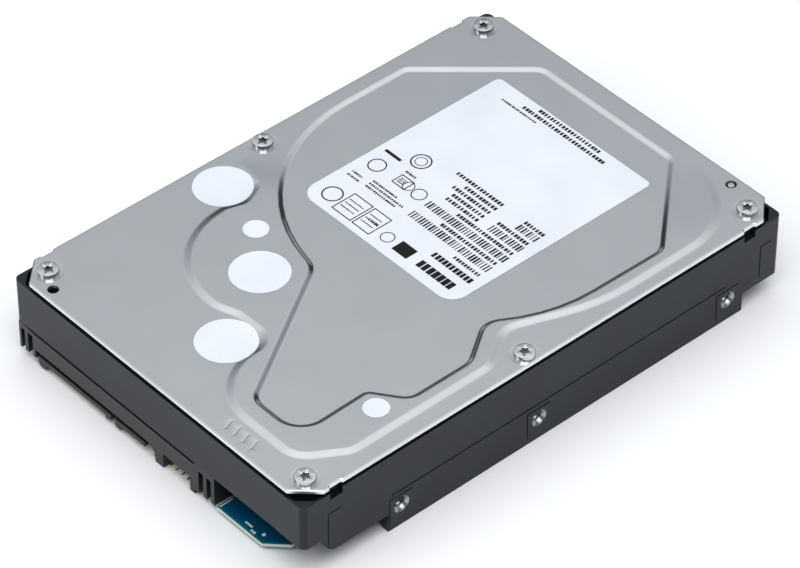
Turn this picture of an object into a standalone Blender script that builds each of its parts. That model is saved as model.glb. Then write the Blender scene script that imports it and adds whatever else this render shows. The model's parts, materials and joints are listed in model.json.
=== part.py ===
"""A 3.5-inch hard disk drive, cover up, modelled as the assembly it is.

The frame: X runs across the drive, Y along it with the connector at the -Y end, and Z is up.
The origin is under the middle of the drive, on the plane that its mounting rails stand on.
Lengths are in millimetres and angles in degrees. The few helpers that make a mesh turn them
into Blender's metres, and nothing else does.
"""

import math

import bmesh
import bpy
from mathutils import Matrix, Vector
from mathutils.geometry import delaunay_2d_cdt

MM = 0.001
GAP = 0.3

# Levels and places that are clear of the part, for cutters that run right through a side
PAST_END_Y = -80.0
PAST_SIDE_X = 60.0

# The 3.5-inch form factor
WIDTH = 101.6
LENGTH = 147.0
HEIGHT = 26.1
SIDE_HOLE_FROM_END = (28.5, 70.11, 130.1)
BOTTOM_HOLE_FROM_END = (41.28, 85.73)
SIDE_HOLE_Z = 6.35
BOTTOM_HOLE_X = 47.625
MOUNT_HOLE_RADIUS = 1.8

# The base casting
PAD_PROUD = 0.15
PAD_HALF = 3.4
SIDE_X = WIDTH / 2 - PAD_PROUD
END_Y = LENGTH / 2
RIM_Z = 22.8
FLOOR_Z = 7.0
POCKET_Z = 4.8
POCKET_X = 41.5
END_STEP_Z = 5.2
NEAR_STEP_Y = -48.8
FAR_STEP_Y = 61.7
CORNER_FOOT_Z = 10.2
RAIL_TIP_END_Y = -39.0
CORNER_GROOVE = ((44.3, 72.8), (47.05, 72.8), (49.95, 69.7), (49.95, 66.8))
GROOVE_LOW_Z = 19.5
NOTCH_Y = (-63.8, 63.0)
NOTCH_LOW_Z = 21.0
BOARD_BOSS_RADIUS = 3.2
MOTOR_BOSS_RADIUS = 17.8
SCREW_HOLE_RADIUS = 1.35
CONNECTOR_ROOF_Z = 10.4
CONNECTOR_BACK_Y = -64.2

# The moulded connector: its blocks are (from X, to X, underside)
CONNECTOR_FRONT_Y = -73.2
BLOCK_TOP_Z = 9.9
BAR_TOP_Z = 9.2
BAR_LOW_Z = 4.4
TONGUE_Z = (2.0, 3.3)
LEFT_BLOCK = (-50.3, -44.4, 1.9)
RIGHT_BLOCK = (13.0, 19.8, 1.4)
CONNECTOR_SLOTS = ((-49.5, -48.3), (-47.1, -45.4), (14.3, 15.9), (17.1, 18.6))
SLOT_TOP_Z = 8.1
SLOT_BACK_Y = -69.5

# Where the two axes are, seen from above
SPINDLE = (0.0, 22.5)
PIVOT = (-12.5, -31.9)
LATCH = (-41.8, -25.7)
PARKED_ANGLE = 21.1

# The disk stack
PLATTER_RADIUS = 47.5
PLATTER_BORE = 12.5
PLATTER_THICK = 1.27
PLATTER_PITCH = 3.5
FIRST_PLATTER_Z = 11.3
PLATTER_COUNT = 3
CHAMBER_RADIUS = 48.3
FLANGE_RADIUS = 15.4

# The stamped cover
SHEET = 0.8
COVER_X = 50.6
COVER_Y = 73.25
COVER_FLANGE_Z = 24.8
COVER_BAND_Z = 25.2
COVER_RECESS_Z = 24.4
COVER_NOTCH = 0.5
RECESS_SLOPE = 1.2
BAND_SLOPE = 2.6
BAND_FADE = 7.0
BAND_ENDS = ((26.0, 70.6), (-47.2, -6.0))
COVER_HOLE_RADIUS = 1.5
DATUM_HOLES = ((36.75, 70.5), (-39.6, -70.5))
DATUM_HOLE_RADIUS = 1.4
COVER_SCREWS = (
    (-44.75, 66.75),
    (45.75, 66.75),
    (-45.0, -67.6),
    (45.1, -67.9),
    (-47.25, -1.5),
    (47.5, -5.25),
)

# The circuit board under the base
BOARD_LOW = 1.0
BOARD_HIGH = 1.9
BOARD_SCREWS = ((-37.0, -57.0), (37.0, -60.0), (-37.0, 6.0), (37.0, 6.0))

# Step of the arcs that round an outline's corners, and sides of the turned pieces
ARC_STEP = 15
ROUND_SIDES = 12

parts = bpy.data.collections.new("hard_disk_drive")
cutters = bpy.data.collections.new("cutters")


# ---------------------------------------------------------------- outlines

def polar(radius, angle, centre=(0.0, 0.0)):
    """The point at this radius and angle from a centre."""
    turn = math.radians(angle)
    return (centre[0] + radius * math.cos(turn), centre[1] + radius * math.sin(turn))


def arc(radius, start, end, steps, centre=(0.0, 0.0)):
    """Points along an arc, both ends included."""
    return [polar(radius, start + (end - start) * i / steps, centre) for i in range(steps + 1)]


def circle(radius, sides, centre=(0.0, 0.0)):
    """The corners of a regular polygon that stands for a circle."""
    return [polar(radius, 360 * i / sides, centre) for i in range(sides)]


def rectangle(low_x, low_y, high_x, high_y):
    """A rectangle's four corners."""
    return [(low_x, low_y), (high_x, low_y), (high_x, high_y), (low_x, high_y)]


def round_corner(before, corner, after, radius):
    """The arc of this radius that joins the lines on each side of a corner."""
    here = Vector(corner)
    back = (Vector(before) - here).normalized()
    ahead = (Vector(after) - here).normalized()
    half = back.angle(ahead) / 2
    reach = radius / math.tan(half)
    centre = here + (back + ahead).normalized() * radius / math.sin(half)
    start = here + back * reach - centre
    end = here + ahead * reach - centre
    sweep = start.angle_signed(end)
    steps = max(1, round(abs(math.degrees(sweep)) / ARC_STEP))
    turned_points = []
    for i in range(steps + 1):
        spoke = start.copy()
        spoke.rotate(Matrix.Rotation(-sweep * i / steps, 2))
        turned_points.append(tuple(centre + spoke))
    return turned_points


def rounded(corners, closed=True):
    """An outline from corners (x, y, radius), with an arc at each corner that has a radius."""
    count = len(corners)
    points = []
    for i, (x, y, radius) in enumerate(corners):
        at_end = not closed and i in (0, count - 1)
        if at_end or not radius:
            points.append((x, y))
            continue
        before = corners[i - 1][:2]
        after = corners[(i + 1) % count][:2]
        points += round_corner(before, (x, y), after, radius)
    return points


def offset(points, distance, closed=True):
    """The same line moved to its left by a distance, point by point."""
    count = len(points)
    moved = []
    for i, point in enumerate(points):
        before = points[i - 1] if closed or i else point
        after = points[(i + 1) % count] if closed or i < count - 1 else point
        along = (Vector(after) - Vector(before)).normalized()
        moved.append((point[0] - along.y * distance, point[1] + along.x * distance))
    return moved


# ------------------------------------------------------------------ solids

def finish(name, bm, material, place, parent, collection):
    """A new object from a bmesh in metres, at a place in millimetres."""
    mesh = bpy.data.meshes.new(name)
    bm.to_mesh(mesh)
    bm.free()
    mesh.materials.append(material)
    item = bpy.data.objects.new(name, mesh)
    item.location = [value * MM for value in place]
    item.parent = parent
    collection.objects.link(item)
    return item


def shade_round(item):
    """Smooth shading that keeps the edges sharp."""
    item.data.shade_smooth()
    item.data.set_sharp_from_angle(angle=math.radians(35))


def plate(name, loops, low, high, material, place=(0, 0, 0), parent=None, collection=parts):
    """A flat piece: its outline and the outlines of its holes, from a low to a high level."""
    curve = bpy.data.curves.new(name, "CURVE")
    curve.dimensions = "2D"
    curve.fill_mode = "BOTH"
    curve.extrude = (high - low) / 2 * MM
    for loop in loops:
        spline = curve.splines.new("POLY")
        spline.points.add(len(loop) - 1)
        spline.use_cyclic_u = True
        for point, (x, y) in zip(spline.points, loop):
            point.co = (x * MM, y * MM, 0, 1)
    drawn = bpy.data.objects.new(name, curve)
    bpy.context.scene.collection.objects.link(drawn)
    graph = bpy.context.evaluated_depsgraph_get()
    mesh = bpy.data.meshes.new_from_object(drawn.evaluated_get(graph))
    bm = bmesh.new()
    bm.from_mesh(mesh)
    bmesh.ops.remove_doubles(bm, verts=bm.verts, dist=0.001 * MM)
    bmesh.ops.translate(bm, verts=bm.verts, vec=(0, 0, (low + high) / 2 * MM))
    bmesh.ops.recalc_face_normals(bm, faces=bm.faces)
    bpy.data.objects.remove(drawn)
    bpy.data.curves.remove(curve)
    bpy.data.meshes.remove(mesh)
    return finish(name, bm, material, place, parent, collection)


def box(name, low, high, material, parent=None, collection=parts):
    """A box between two opposite corners."""
    bm = bmesh.new()
    bmesh.ops.create_cube(bm, size=MM)
    bmesh.ops.scale(bm, verts=bm.verts, vec=[b - a for a, b in zip(low, high)])
    middle = [(a + b) / 2 for a, b in zip(low, high)]
    return finish(name, bm, material, middle, parent, collection)


def cylinder(name, radius, low, high, centre, material, collection=parts, sides=ROUND_SIDES):
    """An upright cylinder from a low to a high level."""
    bm = bmesh.new()
    size = radius * MM
    depth = (high - low) * MM
    bmesh.ops.create_cone(
        bm, cap_ends=True, segments=sides, radius1=size, radius2=size, depth=depth
    )
    place = (centre[0], centre[1], (low + high) / 2)
    return finish(name, bm, material, place, None, collection)


def turned(name, profile, material, place, parent=None, sides=ROUND_SIDES, closed=False):
    """A turned piece from its profile of (radius, height) points, down its outer side."""
    bm = bmesh.new()
    points = [bm.verts.new((radius * MM, 0, height * MM)) for radius, height in profile]
    for start, end in zip(points, points[1:]):
        bm.edges.new((start, end))
    if closed:
        bm.edges.new((points[-1], points[0]))
    item = finish(name, bm, material, place, parent, parts)
    screw = item.modifiers.new("turn", "SCREW")
    screw.steps = sides
    screw.render_steps = sides
    screw.use_merge_vertices = True
    screw.merge_threshold = 0.01 * MM
    screw.use_smooth_shade = True
    return item


def ring(name, inner, outer, low, high, material, centre, parent=None, sides=32):
    """A plain turned ring."""
    profile = [(outer, high), (outer, low), (inner, low), (inner, high)]
    return turned(name, profile, material, (*centre, 0), parent, sides, closed=True)


def combine(item, others, operation):
    """Cuts the others from an item, or joins them to it, and applies the result."""
    for other in others:
        modifier = item.modifiers.new(operation.lower(), "BOOLEAN")
        modifier.operation = operation
        modifier.solver = "EXACT"
        modifier.object = other
    bpy.context.view_layer.update()
    graph = bpy.context.evaluated_depsgraph_get()
    mesh = bpy.data.meshes.new_from_object(item.evaluated_get(graph))
    item.modifiers.clear()
    old = item.data
    item.data = mesh
    bpy.data.meshes.remove(old)
    for other in others:
        bpy.data.objects.remove(other)
    return item


def cut(item, others):
    return combine(item, others, "DIFFERENCE")


def join(item, others):
    return combine(item, others, "UNION")


# --------------------------------------------------------------- materials

def material(name, colour, metallic, roughness):
    """A Principled BSDF with one colour, given as linear red, green and blue."""
    made = bpy.data.materials.new(name)
    made.use_nodes = True
    shader = made.node_tree.nodes["Principled BSDF"]
    shader.inputs["Base Color"].default_value = (*colour, 1)
    shader.inputs["Metallic"].default_value = metallic
    shader.inputs["Roughness"].default_value = roughness
    made.diffuse_color = (*colour, 1)
    return made


def make_materials():
    """Every finish of the drive, by its plain name."""
    finishes = {
        "black_coat": ((0.035, 0.038, 0.045), 0.0, 0.45),
        "cover_metal": ((0.50, 0.52, 0.53), 1.0, 0.38),
        "screw_nickel": ((0.75, 0.73, 0.70), 1.0, 0.22),
        "label_paper": ((0.84, 0.86, 0.90), 0.0, 0.55),
        "black_plastic": ((0.012, 0.012, 0.014), 0.0, 0.40),
        "board_laminate": ((0.004, 0.06, 0.10), 0.0, 0.30),
        "chip_epoxy": ((0.015, 0.015, 0.017), 0.0, 0.50),
        "grey_foam": ((0.10, 0.10, 0.11), 0.0, 0.90),
        "gasket_rubber": ((0.02, 0.02, 0.02), 0.0, 0.80),
        "disk_coating": ((0.60, 0.60, 0.62), 1.0, 0.05),
        "machined_aluminium": ((0.70, 0.71, 0.73), 1.0, 0.30),
        "bearing_steel": ((0.55, 0.55, 0.56), 1.0, 0.20),
        "core_steel": ((0.22, 0.22, 0.24), 1.0, 0.45),
        "magnet_nickel": ((0.58, 0.57, 0.54), 1.0, 0.25),
        "coil_copper": ((0.70, 0.30, 0.14), 1.0, 0.35),
        "flex_film": ((0.50, 0.22, 0.04), 0.0, 0.40),
        "white_plastic": ((0.72, 0.70, 0.64), 0.0, 0.45),
    }
    return {name: material(name, *values) for name, values in finishes.items()}


# ------------------------------------------------------------------- base

def chamber_outline():
    """The disk chamber: a circle round the spindle that opens into the actuator's bay."""
    bay_x = 45.5
    bay_y = -63.0
    neck = (38.5, -6.7)
    turn = math.degrees(math.atan2(neck[1] - SPINDLE[1], neck[0] - SPINDLE[0]))
    round_part = arc(CHAMBER_RADIUS, turn, 180 - turn, 40, SPINDLE)
    bay = [(-bay_x, -13.0), (-bay_x, -55.0), (-36.0, bay_y)]
    bay += [(37.0, bay_y), (bay_x, -54.0), (bay_x, -14.0)]
    return round_part + bay


def end_step(coat):
    """The solid taken off under the connector's end, with a foot that curves up to its corners."""
    foot = [(-64.0, END_STEP_Z), (-65.4, 5.6), (-66.6, 6.7), (-67.5, 8.4), (-68.0, CORNER_FOOT_Z)]
    curved = [(PAST_END_Y, -1), (foot[0][0], -1), *foot, (PAST_END_Y, CORNER_FOOT_Z)]
    # Drawn in the Y-Z plane, then stood up so that it runs along X
    slope = plate("cut_slope", [curved], -PAST_SIDE_X, PAST_SIDE_X, coat, collection=cutters)
    slope.data.transform(Matrix(((0, 0, 1, 0), (1, 0, 0, 0), (0, 1, 0, 0), (0, 0, 0, 1))))
    return slope


def rail_tips(coat):
    """The pockets that leave only a thin rail behind the step, with its inner edge rounded."""
    tip = [(POCKET_X - 1, -1), (49.2, -1), (48.9, 0.2), (48.2, 0.7), (47.8, 1.6), (47.8, POCKET_Z)]
    tips = []
    for side in (1, -1):
        outline = [(side * x, z) for x, z in tip + [(POCKET_X - 1, POCKET_Z)]]
        tips.append(upright("cut_rail_tip", outline, coat, RAIL_TIP_END_Y))
    return tips


def side_profile_cutters(coat):
    """What is taken off the underside: both ends' steps and the room above the connector."""
    near_high = (PAST_SIDE_X, NEAR_STEP_Y, END_STEP_Z)
    far_high = (PAST_SIDE_X, -PAST_END_Y, END_STEP_Z)
    near = box("cut_near", (-PAST_SIDE_X, PAST_END_Y, -1), near_high, coat, None, cutters)
    far = box("cut_far", (-PAST_SIDE_X, FAR_STEP_Y, -1), far_high, coat, None, cutters)
    roof = (POCKET_X, CONNECTOR_BACK_Y, CONNECTOR_ROOF_Z)
    socket = box("cut_socket", (-PAST_SIDE_X, PAST_END_Y, -1), roof, coat, None, cutters)
    return [near, far, end_step(coat), socket] + rail_tips(coat)


def underside_cutters(coat):
    """The pocket that the board lies in, round the motor boss and the board's four bosses."""
    boss_low = 1.5
    board_end_y = 14.0
    pocket_end = (59.0, 6)
    pocket = [(-POCKET_X, PAST_END_Y, 0), (POCKET_X, PAST_END_Y, 0)]
    pocket = rounded(pocket + [(POCKET_X, *pocket_end), (-POCKET_X, *pocket_end)])
    islands = [circle(MOTOR_BOSS_RADIUS, 32, SPINDLE)]
    islands += [circle(BOARD_BOSS_RADIUS, ROUND_SIDES, place) for place in BOARD_SCREWS]
    deep = plate("cut_pocket", [pocket, *islands], -1, POCKET_Z, coat, collection=cutters)
    board = rectangle(-POCKET_X, PAST_END_Y, POCKET_X, board_end_y)
    motor = circle(MOTOR_BOSS_RADIUS + GAP, 32, SPINDLE)
    shallow = plate("cut_board", [board], -1, BOARD_HIGH + GAP, coat, collection=cutters)
    under_motor = plate("cut_motor", [motor], -1, boss_low, coat, collection=cutters)
    return [deep, shallow, under_motor]


def hole_cutters(coat):
    """The threaded holes: three in each side, two in each rail, and those for the screws."""
    depth = 3.8
    rail_depth = 5.0
    cover_hole_low = 15.0
    board_hole_high = 5.6
    radius = MOUNT_HOLE_RADIUS
    holes = []
    for from_end in SIDE_HOLE_FROM_END:
        for side in (-1, 1):
            hole = cylinder("cut_side_hole", radius, 0, 2 * depth, (0, 0), coat, cutters)
            hole.data.transform(Matrix.Rotation(math.radians(90), 4, "Y"))
            place = (side * WIDTH / 2, from_end - END_Y, SIDE_HOLE_Z)
            hole.location = [value * MM for value in place]
            holes.append(hole)
    for from_end in BOTTOM_HOLE_FROM_END:
        for side in (-1, 1):
            place = (side * BOTTOM_HOLE_X, from_end - END_Y)
            holes.append(cylinder("cut_rail_hole", radius, -1, rail_depth, place, coat, cutters))
    radius = SCREW_HOLE_RADIUS
    for place in COVER_SCREWS:
        hole = cylinder("cut_cover_screw", radius, cover_hole_low, 30, place, coat, cutters)
        holes.append(hole)
    for place in BOARD_SCREWS:
        hole = cylinder("cut_board_screw", radius, -1, board_hole_high, place, coat, cutters)
        holes.append(hole)
    return holes


def notch_cutters(coat):
    """The notches in the rim, where the cover can be prised off, and a groove at each corner."""
    deep = 1.6
    half = 1.8
    made = []
    for side in (-1, 1):
        near = side * (WIDTH / 2 - deep)
        away = side * (WIDTH / 2 + 5)
        for middle_y in NOTCH_Y:
            low = (min(near, away), middle_y - half, NOTCH_LOW_Z)
            high = (max(near, away), middle_y + half, 30.0)
            made.append(box("cut_notch", low, high, coat, None, cutters))
        for end in (-1, 1):
            groove = [(side * x, end * y) for x, y in CORNER_GROOVE]
            made.append(plate("cut_groove", [groove], GROOVE_LOW_Z, 30, coat, collection=cutters))
    return made


def side_pads(coat):
    """The flat pads on each side: round the threaded holes, at both ends, and one long rib."""
    holes = [from_end - END_Y for from_end in SIDE_HOLE_FROM_END]
    spans = [(y - PAD_HALF, y + PAD_HALF, 1.6, 9.2) for y in holes]
    spans += [(-66.2, -62.4, 6.6, 16.8), (67.0, 70.4, 7.2, 16.6), (-47.6, 55.8, 10.0, 10.6)]
    pads = []
    for side in (-1, 1):
        inner = side * (SIDE_X - 1)
        outer = side * WIDTH / 2
        for low_y, high_y, low_z, high_z in spans:
            low = (min(inner, outer), low_y, low_z)
            high = (max(inner, outer), high_y, high_z)
            pads.append(box("pad", low, high, coat, None, cutters))
    return pads


def motor_ribs(coat):
    """The ribs under the base that hold the motor boss against the far end."""
    half = 0.7
    low_z, high_z = 2.0, 5.6
    inner = MOTOR_BOSS_RADIUS - 1
    ribs = []
    for angle, reach in ((35, 38.0), (90, 37.5), (145, 38.0)):
        rib = box("rib", (inner, -half, low_z), (reach, half, high_z), coat, None, cutters)
        turn = Matrix.Rotation(math.radians(angle), 4, "Z")
        place = Matrix.Translation((SPINDLE[0] * MM, SPINDLE[1] * MM, 0))
        rib.matrix_basis = place @ turn @ rib.matrix_basis
        ribs.append(rib)
    return ribs


def make_base(finish_of):
    """The cast base with its chamber, motor well, board pocket, rails and threaded holes."""
    coat = finish_of["black_coat"]
    corner = 1.6
    outline = rounded(
        [
            (-SIDE_X, -END_Y, corner),
            (SIDE_X, -END_Y, corner),
            (SIDE_X, END_Y, corner),
            (-SIDE_X, END_Y, corner),
        ]
    )
    base = plate("base_casting", [outline], 0, RIM_Z, coat)
    join(base, side_pads(coat))
    cut(base, side_profile_cutters(coat) + underside_cutters(coat))
    join(base, motor_ribs(coat))
    chamber = plate("cut_chamber", [chamber_outline()], FLOOR_Z, 40, coat, collection=cutters)
    well = [circle(16.1, 32, SPINDLE), circle(6.1, 20, SPINDLE)]
    motor_well = plate("cut_well", well, 3.5, 20, coat, collection=cutters)
    collar = cylinder("cut_collar", 7.0, 8.4, 20, SPINDLE, coat, cutters)
    bore = cylinder("cut_bore", 5.3, -1, 20, SPINDLE, coat, cutters, sides=20)
    cut(base, [chamber, motor_well, collar, bore])
    cut(base, hole_cutters(coat) + notch_cutters(coat))
    shade_round(base)


# ------------------------------------------------------------------ cover

def cover_outline():
    """The sheet's edge: cut corners, and a small notch near each end of each long side."""
    inset = COVER_X - COVER_NOTCH
    half = [
        (45.1, -COVER_Y),
        (COVER_X, -67.4),
        (COVER_X, -65.8),
        (inset, -65.4),
        (inset, -62.2),
        (COVER_X, -61.8),
        (COVER_X, 61.0),
        (inset, 61.4),
        (inset, 64.6),
        (COVER_X, 65.0),
        (COVER_X, 67.4),
        (45.1, COVER_Y),
    ]
    return half + [(-x, y) for x, y in reversed(half)]


def recess_outline():
    """The pressed-in panel that holds the label and follows the disks and the arm's sweep."""
    return rounded(
        [
            (-23.4, 65.9, 3),
            (20.3, 65.9, 3),
            (41.9, 41.9, 4),
            (41.4, 9.0, 41.3),
            (32.6, -4.6, 6),
            (40.6, -16.3, 5),
            (40.6, -33.5, 4),
            (32.5, -39.4, 3),
            (32.9, -59.2, 6),
            (18.9, -59.2, 4),
            (-5.6, -20.5, 8),
            (-44.9, -12.4, 43.4),
            (-44.9, 41.9, 2),
        ]
    )


def band_edge():
    """The outer edge of the raised band, from the far right corner round to the left side."""
    return rounded(
        [
            (*BAND_ENDS[0], 0),
            (46.6, 60.4, 20),
            (46.7, 19.1, 50),
            (38.1, -3.2, 7),
            (45.6, -13.6, 6),
            (45.6, -54.2, 5),
            (36.4, -63.4, 6),
            (12.8, -63.4, 10),
            (5.4, -43.5, 4),
            (-18.3, -46.3, 16),
            (-31.7, -33.9, 12),
            (-35.4, -10.9, 4),
            (-45.6, -9.3, 2),
            (*BAND_ENDS[1], 0),
        ],
        closed=False,
    )


def band_height(x, y):
    """The band's level: full on the connector side, fading out along the far left side."""
    first, last = BAND_ENDS
    along = (Vector(first) - Vector(last)).normalized()
    depth = (x - last[0]) * along.y - (y - last[1]) * along.x
    share = min(1.0, max(0.0, depth / BAND_FADE))
    return COVER_FLANGE_Z + (COVER_BAND_Z - COVER_FLANGE_Z) * share


def inside(point, loop):
    """Whether a point is inside a closed outline."""
    x, y = point
    hit = False
    for (x1, y1), (x2, y2) in zip(loop, loop[1:] + loop[:1]):
        if (y1 > y) != (y2 > y) and x < x1 + (y - y1) * (x2 - x1) / (y2 - y1):
            hit = not hit
    return hit


def cover_lines():
    """Every line of the pressed sheet, as (points, closed, level at a point)."""
    def flange(x, y):
        return COVER_FLANGE_Z

    def recess(x, y):
        return COVER_RECESS_Z

    recess_edge = recess_outline()
    band = band_edge()
    lines = [(cover_outline(), True, flange)]
    holes = [circle(COVER_HOLE_RADIUS, 8, place) for place in COVER_SCREWS]
    holes += [circle(DATUM_HOLE_RADIUS, 8, place) for place in DATUM_HOLES]
    lines += [(hole, True, flange) for hole in holes]
    lines.append((recess_edge, True, recess))
    lines.append((offset(recess_edge, RECESS_SLOPE), True, band_height))
    lines.append((offset(band, -BAND_SLOPE / 2, closed=False), False, band_height))
    lines.append((offset(band, BAND_SLOPE / 2, closed=False), False, flange))
    return lines


def make_cover(finish_of):
    """The stamped cover: a flat flange, a raised band and a panel pressed back down."""
    points = []
    edges = []
    level_of = []
    for line, closed, level in cover_lines():
        first = len(points)
        points += [Vector(point) for point in line]
        level_of += [level] * len(line)
        edges += [(first + i, first + i + 1) for i in range(len(line) - 1)]
        if closed:
            edges.append((len(points) - 1, first))
    flat, _, faces, origins, _, _ = delaunay_2d_cdt(points, edges, [], 0, 1e-5)
    holes = [line for line, _, _ in cover_lines()[1:9]]
    outline = cover_outline()
    bm = bmesh.new()
    made = []
    for place, origin in zip(flat, origins):
        level = level_of[origin[0]] if origin else band_height
        made.append(bm.verts.new((place.x * MM, place.y * MM, level(*place) * MM)))
    for face in faces:
        middle = sum((flat[i] for i in face), Vector((0, 0))) / len(face)
        if inside(middle, outline) and not any(inside(middle, hole) for hole in holes):
            bm.faces.new([made[i] for i in face])
    for vertex in [vertex for vertex in bm.verts if not vertex.link_faces]:
        bm.verts.remove(vertex)
    cover = finish("top_cover", bm, finish_of["cover_metal"], (0, 0, 0), None, parts)
    thick = cover.modifiers.new("sheet", "SOLIDIFY")
    thick.thickness = SHEET * MM
    thick.offset = -1
    shade_round(cover)


def make_cover_trim(finish_of):
    """The gasket under the cover, its six screws, its label and the five round seals."""
    chamber = chamber_outline()
    rim = [offset(chamber, -1.9), offset(chamber, -0.7)]
    plate("cover_gasket", rim, RIM_Z + 0.2, RIM_Z + 0.4, finish_of["gasket_rubber"])
    head_low = COVER_FLANGE_Z + GAP
    head = [(0, HEIGHT), (2.25, HEIGHT), (2.55, HEIGHT - 0.25), (2.55, head_low)]
    shank = [(1.05, head_low), (1.05, 16.0), (0, 15.5)]
    for number, place in enumerate(COVER_SCREWS, 1):
        name = f"cover_screw_{number}"
        turned(name, head + shank, finish_of["screw_nickel"], (*place, 0))
    label = rounded([(-28.5, -6.25, 4.5), (24.1, -6.25, 4.5), (24.1, 57, 1.5), (-28.5, 57, 1.5)])
    low = COVER_RECESS_Z + GAP
    plate("product_label", [label], low, low + 0.1, finish_of["label_paper"])
    seals = (
        (-41.5, -18.6, 7.25),
        (-24.5, -22.9, 3.1),
        (-12.5, -31.9, 7.25),
        (-0.1, -52.3, 7.35),
        (38.9, -41.9, 3.1),
    )
    for number, (x, y, radius) in enumerate(seals, 1):
        outline = circle(radius, 24 if radius > 5 else 16)
        low = seal_level(x, y, radius) + GAP
        name = f"hole_seal_{number}"
        plate(name, [outline], low, low + 0.1, finish_of["label_paper"], (x, y, 0))


def seal_level(x, y, radius):
    """A level that clears the cover everywhere under a round seal."""
    edge = circle(radius + 1, 24, (x, y))
    band = band_edge()
    raised = [*band, (BAND_ENDS[1][0], 60.0), (20.0, BAND_ENDS[0][1])]
    if any(inside(point, raised) for point in edge):
        return max(band_height(*point) for point in edge)
    return COVER_FLANGE_Z


# ------------------------------------------------------------------ board

def board_outline():
    """The board: cut round the connector at its front, and round the motor boss at its back."""
    edge_x = 40.9
    front = [(20.7, -73.3, 0), (36.2, -73.3, 0), (edge_x, -68.7, 0), (edge_x, 12.0, 2)]
    across = rounded([*front, (22.0, 12.0, 2)])
    right = across[:-1]
    round_motor = arc(19.6, 212, 328, 12, SPINDLE)
    left = rounded(
        [(-22.0, 12.0, 0), (-edge_x, 12.0, 2), (-edge_x, -63.6, 1), (20.7, -63.6, 0)],
        closed=False,
    )
    return right + list(reversed(round_motor)) + left


def make_board(finish_of):
    """The circuit board, its chips, the foam that lies over them and its four screws."""
    holes = [circle(1.4, ROUND_SIDES, place) for place in BOARD_SCREWS]
    outline = board_outline()
    plate("circuit_board", [outline, *holes], BOARD_LOW, BOARD_HIGH, finish_of["board_laminate"])
    chip_low = BOARD_HIGH + GAP
    chips = {
        "controller_chip": ((-4, -38), (14, -20), 1.2),
        "motor_driver_chip": ((-26, -34), (-17, -25), 0.9),
        "memory_chip": ((16, -56), (27, -48), 1.0),
    }
    for name, ((x1, y1), (x2, y2), tall) in chips.items():
        box(name, (x1, y1, chip_low), (x2, y2, chip_low + tall), finish_of["chip_epoxy"])
    foam = rectangle(-31.0, -55.0, 31.0, 1.0)
    plate("board_insulator", [foam], 3.7, 4.5, finish_of["grey_foam"])
    head_high = BOARD_LOW - 0.25
    profile = [(0, 5.0), (1.0, 5.0), (1.0, head_high), (2.3, head_high), (1.9, 0.15), (0, 0.15)]
    for number, place in enumerate(BOARD_SCREWS, 1):
        turned(f"board_screw_{number}", profile, finish_of["screw_nickel"], (*place, 0))


def upright(name, outline, material, back, collection=cutters):
    """A plate drawn as seen from the connector's end, in X and Z, that runs back along Y."""
    standing = plate(name, [outline], -back, -CONNECTOR_FRONT_Y, material, collection=collection)
    standing.data.transform(Matrix.Rotation(math.radians(90), 4, "X"))
    return standing


def connector_face():
    """The connector's body from its end: two slotted blocks, a bar, the jumper shroud, a post."""
    left, left_inner, left_low = LEFT_BLOCK
    right_inner, right, right_low = RIGHT_BLOCK
    foot = 0.2
    across = [(left, BLOCK_TOP_Z), (left, left_low), (left_inner, left_low), (left_inner, BAR_LOW_Z)]
    shroud = [(-3.6, BAR_LOW_Z), (-1.1, 2.8), (-1.1, foot), (1.8, foot), (1.8, BAR_LOW_Z)]
    post = [(11.2, BAR_LOW_Z), (11.2, foot), (12.8, foot), (12.8, right_low)]
    end = [(right, right_low), (right, BLOCK_TOP_Z), (right_inner, BLOCK_TOP_Z)]
    return across + shroud + post + end + [(right_inner, BAR_TOP_Z), (left_inner, BAR_TOP_Z)]


def tongue_faces():
    """The two contact tongues from their end, each with its key turned down at one side."""
    low, high = TONGUE_Z
    power = [(-43.6, high), (-43.6, 1.4), (-42.9, 0.5), (-41.4, 0.4), (-40.7, 1.1), (-40.5, low)]
    power += [(-19.0, low), (-18.7, 0.9), (-17.0, 1.6), (-17.0, high)]
    signal = [(-15.5, high), (-15.5, 1.3), (-15.1, 0.9), (-13.6, 0.9), (-13.3, low)]
    signal += [(-4.8, low), (-4.8, high)]
    return power, signal


def make_connector(finish_of):
    """The moulded connector: its body, its two tongues and the wall that holds them behind."""
    plastic = finish_of["black_plastic"]
    back = CONNECTOR_BACK_Y - GAP
    wall_front = -66.4
    root = wall_front + 0.4
    body = upright("sata_connector", connector_face(), plastic, back, parts)
    solids = [upright("tongue", face, plastic, root) for face in tongue_faces()]
    wall_low = (LEFT_BLOCK[1] - 0.5, wall_front, 1.5)
    wall_high = (RIGHT_BLOCK[0] + 0.5, back - 0.1, BAR_TOP_Z - 0.2)
    solids.append(box("back_wall", wall_low, wall_high, plastic, None, cutters))
    solids.append(box("hook", (-2.4, -72.4, 0.3), (-1.0, root, 1.0), plastic, None, cutters))
    join(body, solids)
    slots = [
        box("slot", (low, -80, 0), (high, SLOT_BACK_Y, SLOT_TOP_Z), plastic, None, cutters)
        for low, high in CONNECTOR_SLOTS
    ]
    cut(body, slots)


# ------------------------------------------------------------ disk stack

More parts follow.
